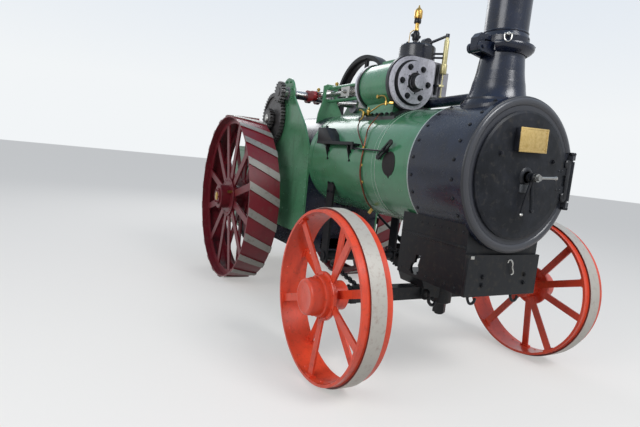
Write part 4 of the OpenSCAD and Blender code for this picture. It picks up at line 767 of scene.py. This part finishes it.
def axle_fittings():
    x, z = FRONT_AXLE
    bm = bmesh.new()
    for side in (-1, 1):
        for y in (0.19, 0.62, 0.80):
            slab(bm, (x, side * y, z), (0.104, 0.050, 0.098), 0.004)
            rows(bm, BOLT, UP, 0.011, (x - 0.030, x + 0.030), side * y, z + 0.048)
        collar(bm, (x, side * 0.8518, z), (0, side, 0), 0.036, 0.055, 0.007)
    turned(bm, [(0.0315, 0), (0.062, 0), (0.066, 0.006), (0.062, 0.010), (0.0315, 0.010), (0.0315, 0)],
           (x, 0, 0.4788), UP)
    # Draw hook on the beam's front face, with its side pin
    pipe(bm, [(x + 0.045, -0.205, z + 0.020), (x + 0.085, -0.205, z + 0.018),
              (x + 0.100, -0.206, z - 0.012), (x + 0.106, -0.200, z - 0.058),
              (x + 0.112, -0.170, z - 0.072), (x + 0.116, -0.150, z - 0.046)], 0.012)
    pipe(bm, [(x + 0.102, -0.250, z - 0.026), (x + 0.104, -0.165, z - 0.026)], 0.009)
    slab(bm, (x + 0.053, -0.205, z + 0.020), (0.012, 0.070, 0.060), 0.003)
    piece("axle_clamps", "front_axle", chassis_black_enamel, bm)


def front_wheel_fittings(side, hand):
    """Rivets in the spokes' feet and the rim, and the hub's cap with its flange bolts and oil plug."""
    x, z = FRONT_AXLE
    bm = bmesh.new()
    for i in range(10):
        spoke = 90 + i * 36
        spoke_y = side * (FRONT_WHEEL_Y + (-0.072 if i % 2 else 0.072))
        rim_y = side * 1.020
        for angle, y, radius, along in (
                (spoke, spoke_y, 0.526, -0.020), (spoke, spoke_y, 0.526, 0.020),
                (spoke + 12, rim_y, 0.5387, 0), (spoke + 24, rim_y, 0.5387, 0)):
            place, out = on_wheel(FRONT_AXLE, y, angle, radius, along)
            put(bm, RIVET, place, -out, 0.0085)
    turned(bm, [(0, 0), (0.152, 0), (0.158, 0.004), (0.158, 0.021), (0.153, 0.026), (0.139, 0.027),
                (0.137, 0.031), (0.137, 0.056), (0.132, 0.063), (0.125, 0.065), (0.123, 0.070),
                (0.123, 0.097), (0.1185, 0.104), (0.117, 0.138), (0.112, 0.147), (0.100, 0.153),
                (0.092, 0.153), (0.087, 0.1505), (0.030, 0.1512), (0, 0.1512)],
           (x, side * 0.990, z), (0, side, 0), steps=48)
    bolt_circle(bm, BOLT, (x, side * 1.0155, z), (0, side, 0), 0.1475, evenly(10, 18), 0.0068)
    drum(bm, (x, side * 1.070, z + 0.118), UP, 0.010, 0.014, sides=10, rounding=0.002)
    piece("front_wheel_rivets_" + hand, "front_wheel_" + hand, wheel_orange_enamel, bm)


perch_fittings()
axle_fittings()
front_wheel_fittings(1, "left")
front_wheel_fittings(-1, "right")


# Cylinder, valve chest and their pipes
def cylinder_fittings():
    cy, cz = CYLINDER
    bm = bmesh.new()
    turned(bm, [(0, 0), (0.0535, 0), (0.0535, 0.053), (0.0505, 0.059), (0.040, 0.0605), (0, 0.061)],
           (CYL_FRONT_X + 0.067, cy, cz), AHEAD, steps=40)
    piece("cylinder_cover_boss", "engine", cover_cast_iron, bm)
    bm = bmesh.new()
    bolt_circle(bm, BOLT, (CYL_FRONT_X + 0.059, cy, cz), AHEAD, 0.125, evenly(6), 0.0185)
    bolt_circle(bm, RIVET, (CYL_FRONT_X + 0.0675, cy, cz), AHEAD, 0.081, evenly(6, 30), 0.0075)
    bolt_circle(bm, BOLT, (CYL_REAR_X - 0.0295, cy, cz), BACK, 0.170, evenly(10, 18), 0.013)
    for x, angle in itertools.product(spaced(0.765, 7, 0.070), (-34.1, 34.1)):
        put(bm, BOLT, *on_boiler(x, angle, 0.4665), 0.015)
    slab(bm, (1.168, 0.150, 2.180), (0.014, 0.020, 0.240), 0.003)
    # Two short black links between the casing and the spring balance
    for z in (2.352, 2.384):
        pipe(bm, [(1.145, 0.120, z), (BALANCE[0] - 0.002, BALANCE[1] - 0.010, z)], 0.0085)
        drum(bm, (*BALANCE, z - 0.009), UP, 0.0185, 0.018, sides=16)
    bolt_circle(bm, BOLT, (*CASING, CASING_TOP_Z - 0.001), UP, 0.128, evenly(8, 10), 0.0085)
    piece("cylinder_nuts", "engine", fitting_black_enamel, bm)

    # Valve chest: nuts round its edge, the cover with its own, and the rod's gland
    bm = bmesh.new()
    rows(bm, BOLT, LEFT, 0.0085, spaced(0.800, 7, 0.0585), 0.2135, (2.0345, 2.256))
    rows(bm, BOLT, LEFT, 0.0085, (0.783, 1.167), 0.2135, (2.080, 2.145, 2.210))
    slab(bm, (0.975, 0.302, 2.145), (0.250, 0.010, 0.130), 0.004)
    rows(bm, BOLT, LEFT, 0.010, (0.870, 0.975, 1.080), 0.306, (2.095, 2.195))
    drum(bm, (0.975, 0.150, 2.3165), UP, 0.040, 0.030, sides=20, rounding=0.005)
    collar(bm, (CYL_REAR_X + 0.009, 0.093, cz), BACK, 0.034, 0.046, 0.010)
    piece("valve_chest_nuts", "engine", grey_cast_iron, bm)


def lubricator_pipes():
    """Brass oil and drain fittings low on the cylinder's right side, with their pipes."""
    bm = bmesh.new()
    pipe(bm, [(0.905, -0.300, 1.862), (0.985, -0.306, 1.884), (1.085, -0.304, 1.919),
              (1.155, -0.300, 1.926), (1.195, -0.285, 1.930)], 0.0062)
    pipe(bm, [(1.020, -0.296, 1.988), (1.075, -0.303, 1.990), (1.128, -0.304, 1.975),
              (1.150, -0.301, 1.940)], 0.0062)
    drum(bm, (1.145, -0.302, 1.912), UP, 0.012, 0.034, sides=10, rounding=0.002)
    drum(bm, (1.185, -0.296, 1.929), (0.8, 0.6, 0), 0.0125, 0.030, sides=6)
    drum(bm, (1.010, -0.262, 1.988), RIGHT, 0.015, 0.040, sides=6)
    # Oil cup on its elbow, and the drain cock below it
    turned(bm, [(0, -0.030), (0.008, -0.030), (0.010, -0.016), (0.018, -0.006), (0.019, 0.006),
                (0.012, 0.018), (0.006, 0.024), (0.006, 0.034), (0, 0.034)],
           (0.905, -0.300, 1.872), UP, steps=20)
    drum(bm, (0.905, -0.262, 1.850), RIGHT, 0.008, 0.044, sides=10)
    drum(bm, (0.837, -0.255, 1.858), RIGHT, 0.011, 0.050, sides=10)
    drum(bm, (0.837, -0.302, 1.840), UP, 0.013, 0.034, sides=6)
    pipe(bm, [(0.837, -0.310, 1.874), (0.812, -0.318, 1.888), (0.792, -0.320, 1.886)], 0.005)
    drain_end = (0.834, -0.330, 1.800)
    pipe(bm, [(0.837, -0.302, 1.845), (0.836, -0.312, 1.822), drain_end], 0.006)
    piece("lubricator_brass", "engine", polished_brass, bm)

    bm = bmesh.new()
    joint = (1.118, -0.4455, 1.560)
    pipe(bm, [drain_end, (0.870, -0.366, 1.742), (0.950, -0.402, 1.680), (1.060, -0.434, 1.606), joint],
         0.0052)
    pipe(bm, [(1.050, -0.285, 1.852), (1.052, -0.330, 1.795), (1.052, -0.378, 1.728),
              (1.090, -0.418, 1.655), joint], 0.0052)
    pipe(bm, [joint, (1.113, -0.452, 1.467), (1.100, -0.440, 1.348), (1.096, -0.396, 1.232),
              (1.080, -0.330, 1.135), (1.070, -0.275, 1.088)], 0.0066)
    piece("copper_pipes", "engine", drawn_copper, bm)

    bm = bmesh.new()
    drum(bm, (1.118, -0.446, 1.545), UP, 0.0105, 0.030, sides=6)
    for x, angle in ((1.108, -94), (1.098, -112)):
        put(bm, RIVET, *on_boiler(x, angle, 0.444), 0.014)
    drum(bm, (1.070, -0.270, 1.078), (0, -0.6, -0.8), 0.014, 0.045, sides=8, rounding=0.002)
    piece("copper_pipe_unions", "engine", polished_brass, bm)


def side_plaque():
    """The dark bare oval with a pointed foot on the boiler's right side."""
    plaque_x = 1.466
    bm = bmesh.new()
    bmesh.ops.create_circle(bm, cap_ends=True, segments=36, radius=1)
    bmesh.ops.scale(bm, vec=(0.077, 0.090, 1), verts=bm.verts)
    lowest = min(bm.verts, key=lambda v: v.co.y)
    lowest.co.y -= 0.016
    for i in range(-9, 8):
        bmesh.ops.bisect_plane(bm, geom=bm.verts[:] + bm.edges[:] + bm.faces[:],
                               plane_co=(0, i * 0.012, 0), plane_no=(0, 1, 0))
    grown = bmesh.ops.extrude_face_region(bm, geom=bm.faces[:])["geom"]
    raised = [g for g in grown if isinstance(g, bmesh.types.BMVert)]
    bmesh.ops.translate(bm, vec=(0, 0, 0.004), verts=raised)
    # Laid against the barrel: x stays, y becomes the height round the curve
    for v in bm.verts:
        x, height, out = v.co
        v.co = on_right_side(plaque_x + x, BOILER_Z + height - 0.002, 0.444 + out)[0]
    for z in (1.535, 1.378):
        put(bm, RIVET, *on_right_side(plaque_x, z, 0.4478), 0.006)
    piece("side_plaque", "engine", plaque_brown, bm)


def boiler_fittings():
    """The bands' clamps, the box on the side shelf and the bolts of the brackets below it."""
    bm = bmesh.new()
    # Clamps of the three boiler bands, underneath
    for x in (0.2125, 1.2725, 1.6765):
        z = BOILER_Z - 0.4475
        for y in (-0.022, 0.022):
            slab(bm, (x, y, z - 0.012), (0.040, 0.008, 0.030), 0.002)
        pipe(bm, [(x, -0.045, z - 0.014), (x, 0.045, z - 0.014)], 0.006)
        put(bm, BOLT, (x, 0.026, z - 0.014), LEFT, 0.011)
    # Low box with a sloped front and a knob on its lid
    slab(bm, (0.560, -0.445, 1.658), (0.300, 0.105, 0.130), 0.004, slope=0.160)
    drum(bm, (0.480, -0.445, 1.7215), UP, 0.012, 0.022, sides=12, rounding=0.003)
    for x, z in itertools.product((0.546, 0.916), (1.525, 1.455)):
        put(bm, BOLT, *on_right_side(x, z, 0.4445), 0.009)
    put(bm, BOLT, (1.418, -0.4675, 1.556), RIGHT, 0.013)
    piece("boiler_side_fittings", "engine", chassis_black_enamel, bm)


cylinder_fittings()
lubricator_pipes()
side_plaque()
boiler_fittings()


# Whistle, motion, side frames and gearing
def whistle_gear():
    """The whistle with its lever and pull rod, and the spring balance's tube and cup."""
    x, y = CASING[0] + 0.010, CASING[1] - 0.040
    bm = bmesh.new()
    pipe(bm, [(x - 0.010, y, 2.560), (x - 0.050, y + 0.004, 2.566), (x - 0.095, y + 0.010, 2.556)], 0.0045)
    pipe(bm, [(x - 0.095, y + 0.010, 2.558), (x - 0.095, y + 0.012, 2.458), (x - 0.085, y + 0.014, 2.441)],
         0.0035)
    drum(bm, (x - 0.018, y, 2.551), AHEAD, 0.0095, 0.020, sides=10)
    piece("whistle_lever", "engine", polished_brass, bm)
    # Bell and stem in brass, with an iron valve below and a cast collar between them
    bm = bmesh.new()
    turned(bm, [(0, 2.652), (0.031, 2.652), (0.0328, 2.658), (0.0328, 2.704), (0.0308, 2.713),
                (0.0205, 2.725), (0.009, 2.737), (0.0055, 2.752), (0, 2.758)], (x, y, 0), UP)
    turned(bm, [(0, 2.554), (0.019, 2.554), (0.017, 2.566), (0.0155, 2.600), (0.018, 2.614),
                (0, 2.614)], (x, y, 0), UP)
    piece("whistle_bell", "engine", whistle_brass, bm)
    bm = bmesh.new()
    turned(bm, [(0, 2.610), (0.026, 2.612), (0.0288, 2.618), (0.0288, 2.640), (0.025, 2.648),
                (0.018, 2.653), (0, 2.653)], (x, y, 0), UP)
    turned(bm, [(0, 2.476), (0.024, 2.476), (0.029, 2.486), (0.029, 2.534), (0.022, 2.548),
                (0.015, 2.556), (0, 2.556)], (x, y, 0), UP)
    for side in (-1, 1):
        drum(bm, (x, y + side * 0.024, 2.512), (0, side, 0), 0.013, 0.018, sides=6)
    piece("whistle_valve", "engine", fitting_black_enamel, bm)
    # Tube and cup of the spring balance
    bm = bmesh.new()
    turned(bm, [(0.010, 2.298), (0.020, 2.298), (0.0205, 2.304), (0.0205, 2.484), (0.018, 2.492),
                (0.010, 2.492), (0.010, 2.298)], (*BALANCE, 0), UP)
    turned(bm, [(0.010, 2.224), (0.024, 2.224), (0.0262, 2.230), (0.0262, 2.296), (0.024, 2.302),
                (0.010, 2.302), (0.010, 2.224)], (*BALANCE, 0), UP)
    piece("spring_balance_tube", "engine", balance_brass, bm)


def motion_fittings():
    """Oil cups, cotters and nuts of the rods and slide bars."""
    cy, cz = CYLINDER
    cup = [(0, 0), (0.010, 0), (0.010, 0.004), (0.017, 0.010), (0.019, 0.026), (0.012, 0.034),
           (0.006, 0.038), (0, 0.040)]
    bm = bmesh.new()
    for x, y, z in ((0.020, cy, cz + 0.081), (0.480, cy, cz + 0.081), (0.277, cy + 0.040, cz + 0.0455)):
        turned(bm, cup, (x, y, z), UP, steps=16)
    piece("motion_oil_cups", "engine", polished_brass, bm)
    bm = bmesh.new()
    turned(bm, cup, (-0.373, cy, cz + 0.057), UP, steps=16)
    piece("strap_oil_cups", "crankshaft", polished_brass, bm)
    bm = bmesh.new()
    for z in (cz - 0.030, cz + 0.030):
        pipe(bm, [(-0.305, cy - 0.034, z), (-0.305, cy + 0.034, z)], 0.008)
        put(bm, BOLT, (-0.305, cy - 0.0315, z), RIGHT, 0.010)
        put(bm, BOLT, (-0.305, cy + 0.0315, z), LEFT, 0.010)
    piece("big_end_bolts", "crankshaft", turned_steel, bm)
    bm = bmesh.new()
    for side in (-1, 1):
        rows(bm, BOLT, (0, side, 0), 0.010, -0.275, cy + side * 0.0295, (cz - 0.026, cz + 0.026))
        put(bm, BOLT, (0.277, cy + side * 0.0575, cz), (0, side, 0), 0.016)
    slab(bm, (0.382, cy, cz), (0.012, 0.020, 0.070), 0.002)
    rows(bm, BOLT, LEFT, 0.010, 0.150, 0.1325, (2.040, 2.160))
    piece("rod_cotters", "engine", turned_steel, bm)


def frame_fittings():
    """Rivets of the side frames, and the nuts round each bearing."""
    bm = bmesh.new()
    for side in (-1, 1):
        y, out = side * (HORN_Y - 0.0005), (0, side, 0)
        rows(bm, RIVET, out, 0.011, 0.125, y, spaced(0.730, 10, 0.083))
        rows(bm, RIVET, out, 0.011, spaced(0.050, 9, -0.140), y, 0.715)
        rows(bm, RIVET, out, 0.0085, spaced(0.030, 5, -0.130), y, spaced(0.880, 4, 0.150))
        for (x, z), radius, count in ((CRANK, 0.128, 8), (SECOND_SHAFT, 0.082, 6),
                                      (THIRD_SHAFT, 0.082, 6), (REAR_AXLE, 0.118, 8)):
            bolt_circle(bm, BOLT, (x, y, z), out, radius, evenly(count, 20), 0.0125)
    piece("frame_rivets", "engine", casting_green_enamel, bm)


def gearing_fittings():
    """The shafts' end nuts, and the flywheel's collar with its key and nuts."""
    for (x, z), y, name in ((SECOND_SHAFT, -0.550, "second_shaft"), (THIRD_SHAFT, -0.604, "third_shaft")):
        bm = bmesh.new()
        turned(bm, [(0, -0.002), (0.046, -0.002), (0.046, 0.004), (0.026, 0.006), (0.024, 0.0085),
                    (0, 0.0085)], (x, y, z), RIGHT)
        piece(name + "_end_nut", name, turned_steel, bm)
    x, z = CRANK
    bm = bmesh.new()
    bolt_circle(bm, BOLT, (x, 0.5715, z), LEFT, 0.078, evenly(6), 0.010)
    collar(bm, (x, 0.5715, z), LEFT, 0.047, 0.066, 0.008)
    slab(bm, (x, 0.579, z + 0.046), (0.022, 0.020, 0.016), 0.002)
    piece("flywheel_key", "crankshaft", turned_steel, bm)


whistle_gear()
motion_fittings()
frame_fittings()
gearing_fittings()


# Rear wheels
def rear_wheel_fittings(side, hand):
    """Rivets of the strakes and spokes, the hub's nuts and beads, and its brass cap and driving pin."""
    x, z = REAR_AXLE
    out = (0, side, 0)
    bm = bmesh.new()
    for strake, k in itertools.product(evenly(22, 90), (-1, 1)):
        y = side * (REAR_WHEEL_Y + k * 0.050)
        place, outward = on_wheel(REAR_AXLE, y, strake + k * 3.0, 0.8865)
        put(bm, RIVET, place, -outward, 0.010)
    for y, first in ((0.692, 0), (0.852, 15)):
        for angle, k in itertools.product(evenly(12, first), (-0.020, 0.020)):
            put(bm, RIVET, on_wheel(REAR_AXLE, side * (y + 0.0088), angle, 0.835, k)[0], out, 0.0085)
            put(bm, RIVET, on_wheel(REAR_AXLE, side * (y + 0.0215), angle, 0.185, k * 0.9)[0], out, 0.0095)
    bolt_circle(bm, BOLT, (x, side * 0.9945, z), out, 0.072, evenly(6), 0.010)
    for r, y in ((0.130, 0.968), (0.216, 0.866)):
        turned(bm, [(r - 0.006, 0), (r + 0.003, 0), (r + 0.005, 0.005), (r + 0.003, 0.010),
                    (r - 0.006, 0.010), (r - 0.006, 0)], (x, side * y, z), out, steps=48)
    piece("rear_wheel_rivets_" + hand, "rear_wheel_" + hand, wheel_maroon_enamel, bm)
    bm = bmesh.new()
    turned(bm, [(0, 0), (0.046, 0), (0.046, 0.006), (0.034, 0.012), (0, 0.014)], (x, side * 0.9945, z), out)
    pipe(bm, [(x + 0.165, side * 0.862, z + 0.070), (x + 0.165, side * 0.925, z + 0.070)], 0.016)
    piece("rear_hub_cap_" + hand, "rear_wheel_" + hand, polished_brass, bm)


rear_wheel_fittings(1, "left")
rear_wheel_fittings(-1, "right")


# Tender, footplate and backhead
def tender_fittings():
    """Rivets of the tender's plates, the coal door's frame, and the ironwork at the back and the step."""
    bm = bmesh.new()
    for side in (-1, 1):
        y = side * TENDER_SIDE_Y
        for xs, zs in ((spaced(-2.160, 18, 0.060), 0.645), (spaced(-2.160, 11, 0.052), 1.455),
                       (-2.178, spaced(0.660, 14, 0.060)), (-1.572, spaced(0.690, 7, 0.060))):
            rows(bm, RIVET, (0, side, 0), 0.0075, xs, y, zs)
    rows(bm, RIVET, BACK, 0.0075, TENDER_BACK_X, spaced(-0.390, 13, 0.065), (0.650, 1.455))
    rows(bm, RIVET, BACK, 0.0075, TENDER_BACK_X, (-0.400, 0.400), spaced(0.700, 13, 0.060))
    # Frame round the coal door, with its sliding plate's guides
    for y in (-0.195, 0.195):
        slab(bm, (-1.5545, y, 1.160), (0.012, 0.026, 0.330), 0.003)
    slab(bm, (-1.5545, 0, 1.298), (0.012, 0.416, 0.026), 0.003)
    piece("tender_rivets", "engine", casting_green_enamel, bm)

    bm = bmesh.new()
    # Filler neck and lid, and the lamp irons
    turned(bm, [(0.050, 0), (0.062, 0), (0.062, 0.090), (0.072, 0.094), (0.072, 0.106), (0.058, 0.112),
                (0.020, 0.116), (0.016, 0.130), (0, 0.134)], (-2.262, 0.260, 0.930), UP)
    slab(bm, (-2.226, 0.260, 0.920), (0.080, 0.110, 0.060), 0.010)
    for y in (-0.330, 0.330):
        slab(bm, (-2.2055, y, 1.330), (0.012, 0.050, 0.120), 0.003)
        slab(bm, (-2.221, y, 1.370), (0.024, 0.012, 0.070), 0.003)
    # The hitch's bolts, its pin and the ring on the pin
    rows(bm, BOLT, BACK, 0.014, -2.2235, (-0.165, 0.165), (0.510, 0.600, 0.690))
    pin_x = -2.348
    pipe(bm, [(pin_x, 0, 0.500), (pin_x, 0, 0.690)], 0.0145)
    drum(bm, (pin_x, 0, 0.6505), UP, 0.026, 0.022, sides=20, rounding=0.004)
    pipe(bm, [(pin_x, y, z) for y, z in ((-0.022, 0.684), (-0.030, 0.712), (0, 0.730), (0.030, 0.712),
                                         (0.022, 0.684), (0, 0.678), (-0.022, 0.684))], 0.005)
    # The step on its two hangers
    slab(bm, (-1.130, -0.445, 0.560), (0.170, 0.070, 0.014), 0.004)
    for x in (-1.205, -1.055):
        slab(bm, (x, -0.424, 0.635), (0.016, 0.016, 0.165), 0.003)
    piece("tender_ironwork", "engine", chassis_black_enamel, bm)


def backhead_details():
    """Fittings on the backhead: bolts, levers' grips, gauge glass cocks and the pressure gauge."""
    x = BACKHEAD_X
    gauge_y, gauge_z = -0.060, 1.760
    bm = bmesh.new()
    # Rivets of the fire door's ring that its hinge and catch leave free, wash-out plugs and two levers
    bolt_circle(bm, RIVET, (x, 0, 1.200), BACK, 0.182, (15, *range(105, 256, 30), 345), 0.009)
    rows(bm, BOLT, BACK, 0.017, x + 0.0005, (-0.300, 0.300), (0.760, 0.900, 1.400, 1.560))
    for y in (-0.345, 0.345):
        pipe(bm, [(-0.708, y, 0.655), (-0.708, y, 1.120), (-0.720, y, 1.240)], 0.009)
        drum(bm, (-0.720, y, 1.235), (-0.1, 0, 1), 0.014, 0.090, top=0.011, sides=14, rounding=0.004)
    piece("backhead_ironwork", "engine", fitting_black_enamel, bm)

    bm = bmesh.new()
    # Pressure gauge rim, unions and handwheels
    turned(bm, [(0.066, 0), (0.078, 0), (0.080, 0.006), (0.074, 0.012), (0.066, 0.012), (0.066, 0)],
           (x - 0.059, gauge_y, gauge_z), BACK, steps=48)
    for z in (1.580, 1.790):
        for foot in (z - 0.020, z + 0.008):
            drum(bm, (x - 0.050, 0.120, foot), UP, 0.017, 0.012, sides=6)
        drum(bm, (x - 0.069, 0.120, z), BACK, 0.008, 0.020, sides=10)
        collar(bm, (x - 0.085, 0.120, z), BACK, 0.018, 0.024, 0.006, steps=20)
        slab(bm, (x - 0.088, 0.120, z), (0.004, 0.042, 0.006), 0.001)
    pipe(bm, [(x - 0.030, gauge_y, 1.836), (x - 0.040, -0.020, 1.870), (x - 0.030, 0.070, 1.868),
              (x - 0.002, 0.110, 1.850)], 0.006)
    piece("backhead_brass", "engine", polished_brass, bm)
    bm = bmesh.new()
    drum(bm, (x - 0.059, gauge_y, gauge_z), BACK, 0.067, 0.004, sides=40)
    piece("gauge_dial", "engine", dial_enamel, bm)
    # Strokes round the dial without figures, and the hand
    bm = bmesh.new()
    for angle in spaced(-130, 11, 26):
        dz, dy = polar(0.055, angle)
        slab(bm, (x - 0.0634, gauge_y + dy, gauge_z + dz), (0.0016, 0.003, 0.010), 0.0004)
    pipe(bm, [(x - 0.0645, gauge_y, gauge_z), (x - 0.0645, -0.092, 1.730)], 0.0014)
    piece("gauge_marks", "engine", fitting_black_enamel, bm)


def steering_fittings():
    """Bolts and collars of the steering barrel's hangers, and the column bracket's bolts."""
    bm = bmesh.new()
    for side in (-1, 1):
        rows(bm, BOLT, (0, side, 0), 0.011, (0.515, 0.585), side * 0.3905, (1.160, 1.240))
        collar(bm, (0.550, side * 0.3895, 0.5715), (0, side, 0), 0.023, 0.040, 0.012)
    rows(bm, BOLT, BACK, 0.010, -1.1205, 0.470, (1.350, 1.430))
    piece("steering_bolts", "engine", chassis_black_enamel, bm)


tender_fittings()
backhead_details()
steering_fittings()
